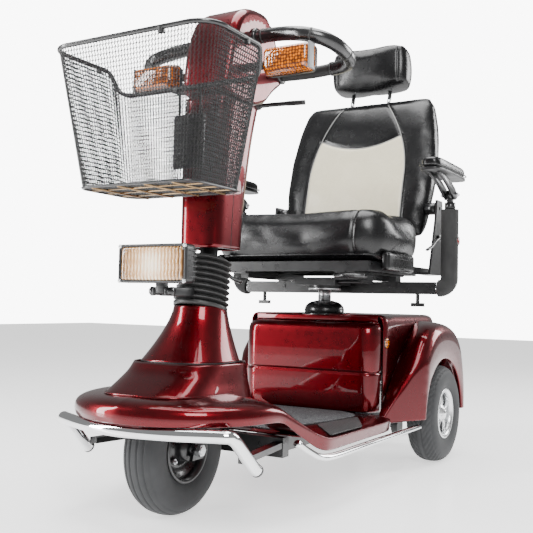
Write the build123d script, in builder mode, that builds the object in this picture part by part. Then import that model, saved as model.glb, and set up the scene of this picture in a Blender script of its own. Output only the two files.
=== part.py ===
"""A three-wheeled mobility scooter with a raked tiller, wire basket and swivel seat.

Millimetres, +Z up, the front wheel towards -Y, the rider's left at +X. The origin is on
the ground under the middle of the scooter.
"""

from build123d import *
from math import atan2, cos, degrees, radians, sin
import os

# ---- wheels and chassis ----
FRONT_AXLE_Y = -430
REAR_AXLE_Y = 414
TYRE_RADIUS = 130
FRONT_TYRE_WIDTH = 78
REAR_TYRE_WIDTH = 80
REAR_WHEEL_X = 246
RIM_RADIUS = 66
FRONT_AXLE_RADIUS = 8
HALF_SHAFT_RADIUS = 8.5
RUNNING_FIT = 0.05
GAP = 0.3
RAIL_X = 120
RAIL_WIDTH = 25
RAIL_BOTTOM = 105
RAIL_TOP = 145
FLOOR_TOP = 150
FLOOR_SKIN = 5
PAN_SKIRT_BOTTOM = 120

# ---- steering and tiller ----
RAKE = 13
STEER_POINT = (0, -355, 412)
STEM_RADIUS = 16
HEAD_TUBE_BORE = 19
TILT_HEIGHT = 44
TILT_PIN_RADIUS = 6
COLUMN_BOTTOM = 531
HEAD_BOTTOM = 850

# ---- body shells ----
BODY_HALF_WIDTH = 191
DECK_TOP = 392
BATTERY_FRONT_Y = 120
FENDER_OUTER_X = 281
FENDER_INNER_X = 193.5
WHEEL_ARCH_RADIUS = 148

# ---- seat ----
POST_Y = 226
POST_RADIUS = 17.5
CUSHION_BOTTOM = 525
CUSHION_TOP = 652
CUSHION_HALF_WIDTH = 254
BACK_PIVOT_Y = 415
BACK_PIVOT_Z = 690
RECLINE = 15
ARM_X = 320
ARM_Y = 305
ARM_BAR_Z = 467
ARM_TUBE_RADIUS = 14
ARM_SLEEVE_RADIUS = 23
ARM_PIVOT_Z = 710

STEER = Plane(origin=STEER_POINT, x_dir=(1, 0, 0), z_dir=(0, sin(radians(RAKE)), cos(radians(RAKE))))
BACK = Plane(
    origin=(0, BACK_PIVOT_Y, BACK_PIVOT_Z),
    x_dir=(1, 0, 0),
    z_dir=(0, sin(radians(RECLINE)), cos(radians(RECLINE))),
)


TILT_Y = STEER_POINT[1] + TILT_HEIGHT * sin(radians(RAKE))
TILT_Z = STEER_POINT[2] + TILT_HEIGHT * cos(radians(RAKE))


def side_plane(x):
    """A sketch plane at x whose local axes are Y and Z, facing +X."""
    return Plane(origin=(x, 0, 0), x_dir=(0, 1, 0), z_dir=(1, 0, 0))


def box(x, y, z, mode=Mode.ADD):
    """A box in the current part between two corners, given as (low, high) along each axis."""
    middle = [(pair[0] + pair[1]) / 2 for pair in (x, y, z)]
    with Locations(tuple(middle)):
        Box(x[1] - x[0], y[1] - y[0], z[1] - z[0], mode=mode)


def bar_along_x(x, y, z, radius, mode=Mode.ADD):
    """A round bar along X in the current part."""
    with BuildSketch(side_plane(x[0])) as section:
        with Locations((y, z)):
            Circle(radius)
    extrude(section.sketch, amount=x[1] - x[0], dir=(1, 0, 0), mode=mode)


def side_profile(x, points, mode=Mode.ADD):
    """A plate in the current part: an outline in Y and Z, between two X values."""
    with BuildSketch(side_plane(x[0])) as outline:
        with BuildLine():
            Polyline(*points, close=True)
        make_face()
    extrude(outline.sketch, amount=x[1] - x[0], dir=(1, 0, 0), mode=mode)


def flat_section(height, half_width, front, back, corner):
    """A rounded rectangle at a height, as a section for a loft."""
    with BuildSketch(Plane.XY.offset(height)) as section:
        with Locations((0, (front + back) / 2)):
            RectangleRounded(2 * half_width, back - front, corner)
    return section.sketch


def tapered(*sections):
    """A closed solid lofted through rounded rectangles, each given as flat_section's values."""
    with BuildPart() as form:
        loft([flat_section(*section) for section in sections])
    return form.part


# =============================== chassis ===============================

DOWN_TUBE = [
    (-287, RAIL_BOTTOM),
    (-268, RAIL_BOTTOM),
    (-268, 150),
    (-290, 250),
    (-310, 292),
    (-325, 372),
    (-340, 385),
    (-356, 300),
    (-330, 290),
    (-287, 235),
]
FRAME_REAR_Y = 375
KICK_UP_BOTTOM = 160
KICK_UP_TOP = 185
SOCKET_TOP = 385
BUMPER_BAR = (124, 136)

with BuildPart() as main_frame:
    for side in (-1, 1):
        x = sorted((side * (RAIL_X - RAIL_WIDTH / 2), side * (RAIL_X + RAIL_WIDTH / 2)))
        box(x, (-262, FRAME_REAR_Y), (RAIL_BOTTOM, RAIL_TOP))
        box(x, (FRAME_REAR_Y - 30, FRAME_REAR_Y), (RAIL_BOTTOM, KICK_UP_TOP))
        box(x, (FRAME_REAR_Y - 30, 560), (KICK_UP_BOTTOM, KICK_UP_TOP))
        with BuildSketch(Plane.XY.offset(BUMPER_BAR[0])):
            with BuildLine():
                Polyline(
                    (side * 190, -468),
                    (side * 172, -468),
                    (side * 138, -262),
                    (side * 160, -262),
                    close=True,
                )
            make_face()
        extrude(amount=BUMPER_BAR[1] - BUMPER_BAR[0])
    box((-165, 165), (-287, -262), (RAIL_BOTTOM, RAIL_TOP))
    box((-RAIL_X, RAIL_X), (100, 130), (RAIL_BOTTOM, RAIL_TOP))
    box((-RAIL_X, RAIL_X), (POST_Y - 20, POST_Y + 20), (RAIL_BOTTOM, RAIL_TOP))
    box((-RAIL_X, RAIL_X), (400, 425), (KICK_UP_BOTTOM, KICK_UP_TOP))
    box((-RAIL_X, RAIL_X), (500, 520), (KICK_UP_BOTTOM, KICK_UP_TOP))
    side_profile((-22, 22), DOWN_TUBE)
    with BuildSketch(STEER.offset(-115)):
        Circle(HEAD_TUBE_BORE + 6)
    extrude(amount=95)
    with BuildSketch(Plane.XY.offset(RAIL_BOTTOM)):
        with Locations((0, POST_Y)):
            Circle(28)
    extrude(amount=SOCKET_TOP - RAIL_BOTTOM)
    with BuildSketch(STEER.offset(-116)):
        Circle(HEAD_TUBE_BORE)
    extrude(amount=98, mode=Mode.SUBTRACT)
    with BuildSketch(Plane.XY.offset(RAIL_TOP + 4)):
        with Locations((0, POST_Y)):
            Circle(POST_RADIUS + RUNNING_FIT)
    extrude(amount=SOCKET_TOP - RAIL_TOP, mode=Mode.SUBTRACT)

with BuildPart() as steering_bearings:
    for height in (-115, -35):
        with BuildSketch(STEER.offset(height)):
            Circle(HEAD_TUBE_BORE)
            Circle(STEM_RADIUS + RUNNING_FIT, mode=Mode.SUBTRACT)
        extrude(amount=15)

# The lower cowl's outer form also trims the floor pan around it.
COWL_TOP = 298
COWL_SKIN = 3.5


def cowl_form(inset, lowering):
    """The lower cowl as a closed form, shrunk sideways by inset and down by lowering."""
    return tapered(
        (FLOOR_TOP + 0.2 - lowering, 128 - inset, -690 + inset, -255 - inset, 40 - inset),
        (COWL_TOP - lowering, 106 - inset, -489 + inset, -285 - inset, 40 - inset),
    )


def cone_form(inset, lowering):
    """The upper cowl as a closed form, shrunk sideways by inset and down by lowering."""
    return tapered(
        (COWL_TOP + GAP - lowering, 96 - inset, -480 + inset, -292 - inset, 80 - inset),
        (411 - lowering, 54 - inset, -409 + inset, -301 - inset, 50 - inset),
    )


NOSE_FRONT_Y = -612
NOSE_HALF_WIDTH = 222
NOSE_MIDDLE_Y = -400
NOSE_RIM_Z = 198
NOSE_CUT_Y = -400


def nose_form(inset):
    """The rounded nose over the front wheel, as a closed dome."""
    with BuildPart() as form:
        for height, grow in ((NOSE_RIM_Z, 0), (222, -14), (243, -62)):
            with BuildSketch(Plane.XY.offset(height - inset)):
                with Locations((0, NOSE_MIDDLE_Y)):
                    Ellipse(NOSE_HALF_WIDTH + grow - inset, NOSE_MIDDLE_Y - NOSE_FRONT_Y + grow - inset)
        loft()
    return form.part


NOSE = nose_form(0)
NOSE_HOLLOW = nose_form(4)
COWL = cowl_form(0, 0)
COWL_HOLLOW = cowl_form(COWL_SKIN, COWL_SKIN)
COWL_CLEARANCE = cowl_form(-GAP, 0)
with BuildPart() as cowl_opening:
    add(COWL_CLEARANCE)
    box((-200, 200), (-750, -558), (140, 239.5), mode=Mode.SUBTRACT)
CONE = cone_form(0, 0)
CONE_HOLLOW = cone_form(COWL_SKIN, COWL_SKIN)


def shoulder_section(y, inner, outer, top, edge_top, skirt_bottom):
    """One section of the pan's shoulder: a sloping top skin and an upright skirt."""
    skin = FLOOR_SKIN
    with BuildSketch(Plane(origin=(0, y, 0), x_dir=(1, 0, 0), z_dir=(0, -1, 0))) as section:
        with BuildLine():
            Polyline(
                (inner, top - skin),
                (inner, top),
                (outer - 20, (top + edge_top) / 2 + 3),
                (outer, edge_top),
                (outer, skirt_bottom),
                (outer - skin, skirt_bottom),
                (outer - skin, edge_top - skin),
                (outer - 24, (top + edge_top) / 2 - skin + 2),
                close=True,
            )
        make_face()
    return section.sketch


PAN_OUTLINE = [(-250, -236), (-252, 0), (-258, 116), (-190, 116), (-190, 132)]

with BuildPart() as floor_pan:
    add(NOSE)
    add(NOSE_HOLLOW, mode=Mode.SUBTRACT)
    box((-300, 300), (NOSE_CUT_Y, 0), (100, 300), mode=Mode.SUBTRACT)
    loft(
        [
            shoulder_section(NOSE_CUT_Y, 112, 222, 241, 204, NOSE_RIM_Z),
            shoulder_section(-345, 112, 230, 208, 182, 168),
            shoulder_section(-280, 112, 241, 168, 157, 131),
            shoulder_section(-236, 112, 250, FLOOR_TOP, FLOOR_TOP - 6, PAN_SKIRT_BOTTOM),
        ],
        ruled=True,
    )
    mirror(about=Plane.YZ)
    with BuildSketch(Plane.XY.offset(PAN_SKIRT_BOTTOM)):
        with BuildLine():
            Polyline(*PAN_OUTLINE, *[(-x, y) for x, y in reversed(PAN_OUTLINE)], close=True)
        make_face()
    extrude(amount=FLOOR_TOP - PAN_SKIRT_BOTTOM)
    with BuildSketch(Plane.XY.offset(PAN_SKIRT_BOTTOM)):
        with BuildLine():
            Polyline((-243, -237), (-246, 0), (-252, 110), (252, 110), (246, 0), (243, -237), close=True)
        make_face()
    extrude(amount=FLOOR_TOP - FLOOR_SKIN - PAN_SKIRT_BOTTOM, mode=Mode.SUBTRACT)
    box((-180, 180), (105, 133), (PAN_SKIRT_BOTTOM, RAIL_TOP), mode=Mode.SUBTRACT)
    box((-114, 114), (-262, -235), (FLOOR_TOP - FLOOR_SKIN, FLOOR_TOP))
    add(cowl_opening.part, mode=Mode.SUBTRACT)

COWL_UNDERCUT = [
    (-700, 100),
    (-700, 242),
    (-560, 242),
    (-400, 240),
    (-345, 208),
    (-280, 168),
    (-262, 156),
    (-262, 100),
]
with BuildPart() as lower_cowl:
    add(COWL)
    add(COWL_HOLLOW, mode=Mode.SUBTRACT)
    side_profile((-200, 200), COWL_UNDERCUT, Mode.SUBTRACT)
    with BuildSketch(Plane.XY.offset(COWL_TOP - 10)):
        with Locations((0, -386)):
            Ellipse(84, 84)
    extrude(amount=20, mode=Mode.SUBTRACT)

with BuildPart() as upper_cowl:
    add(CONE)
    add(CONE_HOLLOW, mode=Mode.SUBTRACT)
    with BuildSketch(STEER.offset(-30)):
        Circle(HEAD_TUBE_BORE + 8)
    extrude(amount=60, mode=Mode.SUBTRACT)

MAT_THICKNESS = 4
PAD_THICKNESS = 3

MAT_OUTLINE = [(100, -232), (142, -112), (168, 46), (150, 90), (112, 111)]
PAD_OUTLINE = [(152, -112), (244, -228), (248, -74), (178, 50)]

with BuildPart() as floor_mats:
    with BuildSketch(Plane.XY.offset(FLOOR_TOP)):
        with BuildLine():
            Polyline(*MAT_OUTLINE, *[(-x, y) for x, y in reversed(MAT_OUTLINE)], close=True)
        make_face()
    extrude(amount=MAT_THICKNESS)
    for side in (-1, 1):
        with BuildSketch(Plane.XY.offset(FLOOR_TOP)):
            with BuildLine():
                Polyline(*[(side * x, y) for x, y in PAD_OUTLINE], close=True)
            make_face()
        extrude(amount=PAD_THICKNESS)

with BuildPart() as battery_cover:
    with BuildSketch(Plane.XY.offset(FLOOR_TOP + 0.5)):
        with Locations((0, BATTERY_FRONT_Y + 40)):
            RectangleRounded(2 * BODY_HALF_WIDTH, 80, 34)
    extrude(amount=225)
    fillet(battery_cover.faces().sort_by(Axis.Z)[-1].edges(), 14)
    with BuildSketch(Plane.XY.offset(FLOOR_TOP)):
        with Locations((0, BATTERY_FRONT_Y + 40)):
            RectangleRounded(2 * BODY_HALF_WIDTH - 8, 72, 30)
    extrude(amount=221, mode=Mode.SUBTRACT)
    box((-200, 200), (170, 230), (100, 400), mode=Mode.SUBTRACT)

FENDER = [
    (118, 126),
    (158, 176),
    (228, 262),
    (288, 333),
    (344, 366),
    (430, 376),
    (520, 358),
    (574, 300),
    (592, 200),
    (589, 126),
]
FENDER_CORE = [
    (100, 100),
    (164, 174),
    (233, 259),
    (292, 328),
    (346, 360),
    (430, 370),
    (516, 353),
    (568, 298),
    (586, 200),
    (583, 100),
]
FENDER_PLAN = [
    (FENDER_INNER_X - 4, 110),
    (FENDER_INNER_X + 9, 110),
    (FENDER_OUTER_X, 270),
    (FENDER_OUTER_X, 620),
    (FENDER_INNER_X - 4, 620),
]
FENDER_CORE_PLAN = [
    (FENDER_INNER_X, 102),
    (FENDER_OUTER_X - 5, 271),
    (FENDER_OUTER_X - 5, 620),
    (FENDER_INNER_X, 620),
]


def fender_form(side, profile, plan):
    """One fender as a closed form: its side view cut by its plan view."""
    with BuildPart() as form:
        side_profile(sorted((side * plan[0][0], side * FENDER_OUTER_X)), profile)
        with BuildSketch(Plane.XY.offset(90)):
            with BuildLine():
                Polyline(*[(side * x, y) for x, y in plan], close=True)
            make_face()
        extrude(amount=400, mode=Mode.INTERSECT)
    return form.part


FENDERS = [fender_form(side, FENDER, FENDER_PLAN) for side in (-1, 1)]
FENDER_CORES = [fender_form(side, FENDER_CORE, FENDER_CORE_PLAN) for side in (-1, 1)]

with BuildPart() as rear_shroud:
    with BuildSketch(Plane.XY.offset(190)):
        with Locations((0, 345.5)):
            RectangleRounded(2 * FENDER_INNER_X, 480, 40)
    extrude(amount=DECK_TOP - 190)
    fillet(rear_shroud.faces().sort_by(Axis.Z)[-1].edges(), 16)
    with BuildSketch(Plane.XY.offset(150)):
        with Locations((0, 345.5)):
            RectangleRounded(2 * FENDER_INNER_X - 8, 472, 36)
    extrude(amount=DECK_TOP - 4 - 150, mode=Mode.SUBTRACT)
    for side in (-1, 1):
        box(sorted((side * 189.5, side * FENDER_INNER_X)), (170.5, 300), (150.5, 200))
    for fender, core in zip(FENDERS, FENDER_CORES):
        add(fender)
        add(core, mode=Mode.SUBTRACT)
    for span in ((-300, -150), (150, 300)):
        bar_along_x(span, REAR_AXLE_Y, TYRE_RADIUS, WHEEL_ARCH_RADIUS, Mode.SUBTRACT)
    box((-192, 192), (50, 171), (100, 420), mode=Mode.SUBTRACT)
    box((-178, 178), (171, 175), (377, DECK_TOP - 3))
    with BuildSketch(Plane.XY.offset(380)):
        with Locations((0, POST_Y)):
            Circle(36)
    extrude(amount=20, mode=Mode.SUBTRACT)

with BuildPart() as seat_post_boot:
    with BuildSketch(Plane.YZ) as boot_profile:
        with BuildLine():
            Polyline(
                (POST_RADIUS + 1, DECK_TOP + 4),
                (POST_RADIUS + 1, 428),
                (34, 428),
                (52, 418),
                (54, 404),
                (60, DECK_TOP + 4),
                (60, DECK_TOP + 0.2),
                (30, DECK_TOP + 0.2),
                (30, DECK_TOP + 4),
                close=True,
            )
        make_face()
    revolve(axis=Axis.Z)
seat_post_boot.part.locate(Location((0, POST_Y, 0)))

with BuildPart() as batteries:
    for side in (-1, 1):
        box(sorted((side * 34, side * 165)), (148, 343), (RAIL_TOP + 1, 301))
        for y in (175, 315):
            with Locations((side * 75, y, 306)):
                Box(14, 14, 10)

with BuildPart() as controller:
    box((-60, 60), (402, 518), (KICK_UP_TOP, 226))
    for n in range(7):
        box((-54 + n * 17, -50 + n * 17), (402, 518), (226, 234))

with BuildPart() as transaxle:
    bar_along_x((-185, 185), REAR_AXLE_Y, TYRE_RADIUS, 20)
    bar_along_x((-60, 60), REAR_AXLE_Y, TYRE_RADIUS, 26)
    bar_along_x((-30, 30), REAR_AXLE_Y, TYRE_RADIUS - 8, 34)
    with BuildSketch(Plane.XZ.offset(-REAR_AXLE_Y)):
        with Locations((0, 112)):
            Circle(40)
    extrude(amount=-150)
    axle_span = (REAR_AXLE_Y - 20, REAR_AXLE_Y + 20)
    for side in (-1, 1):
        box(sorted((side * 108, side * 132)), axle_span, (TYRE_RADIUS, KICK_UP_BOTTOM))
    for side in (-1, 1):
        shaft_span = sorted((side * 42, side * 190))
        shaft_bore = HALF_SHAFT_RADIUS + RUNNING_FIT
        bar_along_x(shaft_span, REAR_AXLE_Y, TYRE_RADIUS, shaft_bore, Mode.SUBTRACT)

BUMPER_RADIUS = 12.5
BUMPER_ROUTE = [(205, -455, 113), (200, -533, 183), (110, -578, 183), (0, -594, 183)]
BUMPER_OTHER_SIDE = [(-x, y, z) for x, y, z in reversed(BUMPER_ROUTE[:-1])]
with BuildPart() as front_bumper:
    with BuildLine() as bumper_path:
        FilletPolyline(*BUMPER_ROUTE, *BUMPER_OTHER_SIDE, radius=[40, 90, 200, 90, 40])
    with BuildSketch(bumper_path.line ^ 0):
        Circle(BUMPER_RADIUS)
    sweep()

RAIL_ROUTE = [(229, -345, 150), (241, -280, 117), (250, -236, 109.5), (252, -20, 109.5), (262, 262, 112)]
with BuildPart() as side_rails:
    with BuildLine() as rail_path:
        Polyline(*RAIL_ROUTE)
    with BuildSketch(rail_path.line ^ 0):
        Rectangle(18, 18)
    sweep(transition=Transition.RIGHT)
    mirror(about=Plane.YZ)

ANTI_TIP_LEG = [(612, 166), (602, 182), (572, 52), (594, 44), (600, 60)]
with BuildPart() as rear_bumper:
    bar_along_x((-232, 232), 607.5, 172, 12.5)
    for side in (-1, 1):
        box(sorted((side * 110, side * 130)), (560.2, 600), (162, 182))
        side_profile(sorted((side * 54, side * 60)), ANTI_TIP_LEG)
    bar_along_x((-62, 62), 584, 56, 6 + RUNNING_FIT, Mode.SUBTRACT)

with BuildPart() as tail_lights:
    for side in (-1, 1):
        box(sorted((side * 108, side * 172)), (585.8, 600), (296, 336))

with BuildPart() as side_reflectors:
    for side in (-1, 1):
        bar_along_x(sorted((side * (FENDER_INNER_X + 0.1), side * (FENDER_INNER_X + 8))), 186, 324, 14)

# ============================ steering and front wheel ============================

CROWN_TOP = -134
CROWN_BOTTOM = -146
FORK_LEG = [(-448, 112), (-412, 112), (-368, 283), (-402, 283)]

with BuildPart() as front_fork:
    for side in (-1, 1):
        side_profile(sorted((side * 48, side * 56)), FORK_LEG)
    with BuildSketch(STEER.offset(CROWN_BOTTOM)):
        Rectangle(112, 40)
    extrude(amount=CROWN_TOP - CROWN_BOTTOM)
    with BuildSketch(STEER.offset(CROWN_TOP)):
        Circle(STEM_RADIUS)
    extrude(amount=TILT_HEIGHT - 12 - CROWN_TOP)
    bar_along_x((-12, 12), TILT_Y, TILT_Z, 12)
    with BuildSketch(STEER.offset(TILT_HEIGHT - 20)):
        Rectangle(24, 20)
    extrude(amount=20)
    bar_along_x((-24, 24), TILT_Y, TILT_Z, TILT_PIN_RADIUS)
    bar_along_x((-70, 70), FRONT_AXLE_Y, TYRE_RADIUS, FRONT_AXLE_RADIUS, Mode.SUBTRACT)

with BuildPart() as front_axle:
    bar_along_x((-68, 68), FRONT_AXLE_Y, TYRE_RADIUS, FRONT_AXLE_RADIUS)
    for side in (-1, 1):
        with BuildSketch(side_plane(side * 56.1)):
            with Locations((FRONT_AXLE_Y, TYRE_RADIUS)):
                RegularPolygon(12, 6)
        extrude(amount=side * 10)

BOOT_BOTTOM = -6
BOOT_TOP = 102
BOOT_FOLDS = 8

BOOT_SECTION = Plane(origin=STEER_POINT, x_dir=(1, 0, 0), z_dir=(0, -cos(radians(RAKE)), sin(radians(RAKE))))
with BuildPart() as tiller_boot:
    with BuildSketch(BOOT_SECTION):
        with BuildLine():
            pitch = (BOOT_TOP - BOOT_BOTTOM) / BOOT_FOLDS
            folds = []
            for n in range(BOOT_FOLDS):
                crest = 60 - n
                folds.append((crest - 9, BOOT_BOTTOM + n * pitch))
                folds.append((crest, BOOT_BOTTOM + (n + 0.5) * pitch))
            folds.append((44, BOOT_TOP))
            Polyline(*folds, *[(x - 3, z) for x, z in reversed(folds)], close=True)
        make_face()
    revolve(axis=Axis(STEER_POINT, (0, sin(radians(RAKE)), cos(radians(RAKE)))))
    box((-100, 100), (-460, -250), (380, 411.3), mode=Mode.SUBTRACT)
    box((-22, 22), (-440, -370), (426, 450), mode=Mode.SUBTRACT)
    box((-8, 8), (-310, -250), (466, 508), mode=Mode.SUBTRACT)

LAMP_PIVOT = (-485, 441)

with BuildPart() as headlight_bracket:
    for side in (-1, 1):
        box(sorted((side * 11, side * 19)), (-495, -471), (430, 446))
    box((-19, 19), (-472, -398), (430, 446))
    box((-10, 10), (-398, -358), (432, 444))
    with BuildSketch(STEER):
        Circle(STEM_RADIUS + 0.02)
    extrude(amount=60, mode=Mode.SUBTRACT)
    bar_along_x((-24, 24), LAMP_PIVOT[0], LAMP_PIVOT[1] - 3, 4)

with BuildPart() as headlight_housing:
    box((-82, 82), (-518, -477), (453, 528))
    fillet(headlight_housing.edges().filter_by(Axis.Y), 9)
    fillet(headlight_housing.faces().sort_by(Axis.Y)[-1].edges(), 5)
    box((-75, 75), (-520, -482), (459, 522), mode=Mode.SUBTRACT)
    box((-10.5, 10.5), (-493, -479), (438, 454))
    bar_along_x((-10.5, 10.5), LAMP_PIVOT[0], LAMP_PIVOT[1] - 3, 8.5)
    bar_along_x((-12, 12), LAMP_PIVOT[0], LAMP_PIVOT[1] - 3, 4 + RUNNING_FIT, Mode.SUBTRACT)

with BuildPart() as headlight_lens:
    box((-74.8, 74.8), (-522, -512), (459.2, 521.8))
    fillet(headlight_lens.faces().sort_by(Axis.Y)[0].edges(), 4)


def wheel_profile(x, y, points):
    """A solid of revolution about a wheel's axle: points are (across the wheel, radius)."""
    with BuildSketch(Plane(origin=(x, y, TYRE_RADIUS), x_dir=(1, 0, 0), z_dir=(0, -1, 0))) as section:
        with BuildLine():
            Polyline(*points, close=True)
        make_face()
    revolve(section.sketch, axis=Axis((x, y, TYRE_RADIUS), (1, 0, 0)))


def tyre_points(width):
    """A tyre's section: bead, bulging sidewall and a crowned tread."""
    half = width / 2
    return [
        (-half + 8, RIM_RADIUS),
        (-half + 1, 82),
        (-half, 100),
        (-half + 5, 116),
        (-half + 16, 125),
        (-half + 28, 129),
        (0, TYRE_RADIUS),
        (half - 28, 129),
        (half - 16, 125),
        (half - 5, 116),
        (half, 100),
        (half - 1, 82),
        (half - 8, RIM_RADIUS),
    ]


with BuildPart() as front_tyre:
    wheel_profile(0, FRONT_AXLE_Y, tyre_points(FRONT_TYRE_WIDTH))

with BuildPart() as front_rim:
    wheel_profile(
        0,
        FRONT_AXLE_Y,
        [(-34, RIM_RADIUS - 0.1), (-34, 58), (-8, 52), (-8, 24), (-40, 22), (-40, 12)]
        + [(40, 12), (40, 22), (8, 24), (8, 52), (34, 58), (34, RIM_RADIUS - 0.1)],
    )
    bar_along_x((-47, 47), FRONT_AXLE_Y, TYRE_RADIUS, 13)
    bar_along_x((-50, 50), FRONT_AXLE_Y, TYRE_RADIUS, FRONT_AXLE_RADIUS + RUNNING_FIT, Mode.SUBTRACT)

# ============================== tiller ==============================

EAR_X = (13, 21)
LEVER_PIVOT_Y = -303
LEVER_PIVOT_Z = 498

with BuildPart() as tiller_column:
    for side in (-1, 1):
        x = sorted((side * EAR_X[0], side * EAR_X[1]))
        bar_along_x(x, TILT_Y, TILT_Z, 12)
        with BuildSketch(STEER.offset(TILT_HEIGHT)):
            with Locations((side * (EAR_X[0] + EAR_X[1]) / 2, 0)):
                Rectangle(EAR_X[1] - EAR_X[0], 22)
        extrude(amount=26)
    with BuildSketch(STEER.offset(TILT_HEIGHT + 16)):
        Circle(22)
    extrude(amount=10)
    with BuildSketch(STEER.offset(TILT_HEIGHT + 20)):
        Circle(19)
    extrude(amount=440)
    for side in (-1, 1):
        bar_along_x(sorted((side * 6.5, side * 11)), LEVER_PIVOT_Y, LEVER_PIVOT_Z, 8)
        box(sorted((side * 6.5, side * 11)), (-326, LEVER_PIVOT_Y), (496, 506))
    bar_along_x((-11, 11), LEVER_PIVOT_Y, LEVER_PIVOT_Z, 4)
    bar_along_x((-30, 30), TILT_Y, TILT_Z, TILT_PIN_RADIUS + RUNNING_FIT, Mode.SUBTRACT)


def tiller_form(inset, bottom, top):
    """The tiller casing as a closed form, shrunk by inset."""
    return tapered(
        (bottom, 50 - inset, -376 + inset, -268 - inset, 24 - inset),
        (700, 52 - inset, -375 + inset, -247 - inset, 26 - inset),
        (top, 56 - inset, -365 + inset, -212 - inset, 28 - inset),
    )


CASING = tiller_form(0, COLUMN_BOTTOM, HEAD_BOTTOM - GAP)
CASING_HOLLOW = tiller_form(3, COLUMN_BOTTOM - 4, HEAD_BOTTOM + 4)

with BuildPart() as tiller_cover:
    add(CASING)
    add(CASING_HOLLOW, mode=Mode.SUBTRACT)
    box((-100, 100), (-500, -100), (COLUMN_BOTTOM - 40, COLUMN_BOTTOM), mode=Mode.SUBTRACT)
    box((-100, 100), (-500, -100), (HEAD_BOTTOM - GAP, 900), mode=Mode.SUBTRACT)

HEAD_PROFILE = [
    (-366, HEAD_BOTTOM),
    (-364, 893),
    (-356, 940),
    (-342, 985),
    (-328, 1018),
    (-312, 1040),
    (-288, 1056),
    (-246, 1066),
    (-205, 1067),
    (-189, 1063),
    (-120, 933),
    (-165, 900),
    (-212, HEAD_BOTTOM),
]
HEAD_HALF_WIDTH = 62
HEAD_FRONT_VIEW = [
    (56, HEAD_BOTTOM - 1),
    (59, 896),
    (HEAD_HALF_WIDTH, 940),
    (HEAD_HALF_WIDTH, 1005),
    (56, 1080),
]


def head_form(inset):
    """The tiller head: its side view cut by its front view."""
    middle_y = -235
    middle_z = 960
    shrink = 1 - inset / 110
    side_points = []
    for y, z in HEAD_PROFILE:
        side_points.append((middle_y + (y - middle_y) * shrink, middle_z + (z - middle_z) * shrink))
    front_points = [(x - inset, z) for x, z in HEAD_FRONT_VIEW]
    with BuildPart() as form:
        side_profile((-HEAD_HALF_WIDTH, HEAD_HALF_WIDTH), side_points)
        with BuildSketch(Plane(origin=(0, 100, 0), x_dir=(1, 0, 0), z_dir=(0, -1, 0))):
            with BuildLine():
                Polyline(*front_points, *[(-x, z) for x, z in reversed(front_points)], close=True)
            make_face()
        extrude(amount=700, mode=Mode.INTERSECT)
    return form.part


HEAD = head_form(0)
HEAD_HOLLOW = head_form(4)
THROTTLE_Y = -152

with BuildPart() as tiller_head:
    add(HEAD)
    add(HEAD_HOLLOW, mode=Mode.SUBTRACT)
    box((-40, 40), (-345, -224), (HEAD_BOTTOM - 10, HEAD_BOTTOM + 8), mode=Mode.SUBTRACT)
    with BuildSketch(Plane.XY.offset(865)):
        with Locations((0, THROTTLE_Y)):
            Circle(5)
    extrude(amount=50)

DASH_LOW = (-120, 933)
DASH_HIGH = (-189, 1063)
DASH_ANGLE = degrees(atan2(DASH_LOW[0] - DASH_HIGH[0], DASH_HIGH[1] - DASH_LOW[1]))
DASH = Plane(
    origin=(0, (DASH_LOW[0] + DASH_HIGH[0]) / 2, (DASH_LOW[1] + DASH_HIGH[1]) / 2),
    x_dir=(-1, 0, 0),
    z_dir=(0, cos(radians(DASH_ANGLE)), sin(radians(DASH_ANGLE))),
)
DASH_THICKNESS = 4
KNOB_AT = (0, -18)
KEY_AT = (36, 30)
HORN_AT = (-36, -30)
LIGHT_AT = (36, -30)
INDICATOR_AT = (-36, 24)

with BuildPart() as dash_panel:
    with BuildSketch(DASH.offset(0.1)):
        RectangleRounded(108, 124, 16)
    extrude(amount=DASH_THICKNESS)
    with BuildSketch(DASH.offset(0.1)):
        for place in (HORN_AT, LIGHT_AT):
            with Locations(place):
                Circle(9.4)
        with Locations(KNOB_AT, KEY_AT):
            Circle(4.05)
        with Locations(INDICATOR_AT):
            Rectangle(27, 17)
    extrude(amount=DASH_THICKNESS + 1, mode=Mode.SUBTRACT)


def round_control(place, radius, height, shaft):
    """A knob on the dash with its shaft running through the panel."""
    with BuildSketch(DASH.offset(DASH_THICKNESS + 0.5)) as cap:
        with Locations(place):
            Circle(radius)
    extrude(cap.sketch, amount=height, dir=DASH.z_dir)
    with BuildSketch(DASH.offset(0.4)) as stub:
        with Locations(place):
            Circle(shaft)
    extrude(stub.sketch, amount=DASH_THICKNESS + 1, dir=DASH.z_dir)


with BuildPart() as speed_knob:
    round_control(KNOB_AT, 17, 14, 4)
    fillet(speed_knob.faces().sort_by(Axis((0, 0, 0), DASH.z_dir))[-1].edges(), 2)

with BuildPart() as ignition_key:
    round_control(KEY_AT, 8, 4, 4)
    with BuildSketch(DASH.offset(DASH_THICKNESS + 4)):
        with Locations(KEY_AT):
            Rectangle(3, 15)
    extrude(amount=22)

with BuildPart() as horn_button:
    with BuildSketch(DASH.offset(2.4)):
        with Locations(HORN_AT):
            Circle(9)
    extrude(amount=7)

with BuildPart() as light_button:
    with BuildSketch(DASH.offset(2.4)):
        with Locations(LIGHT_AT):
            Circle(9)
    extrude(amount=7)

with BuildPart() as indicator_switch:
    with BuildSketch(DASH.offset(4.6)):
        with Locations(INDICATOR_AT):
            Rectangle(26, 16)
    extrude(amount=6)

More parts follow.
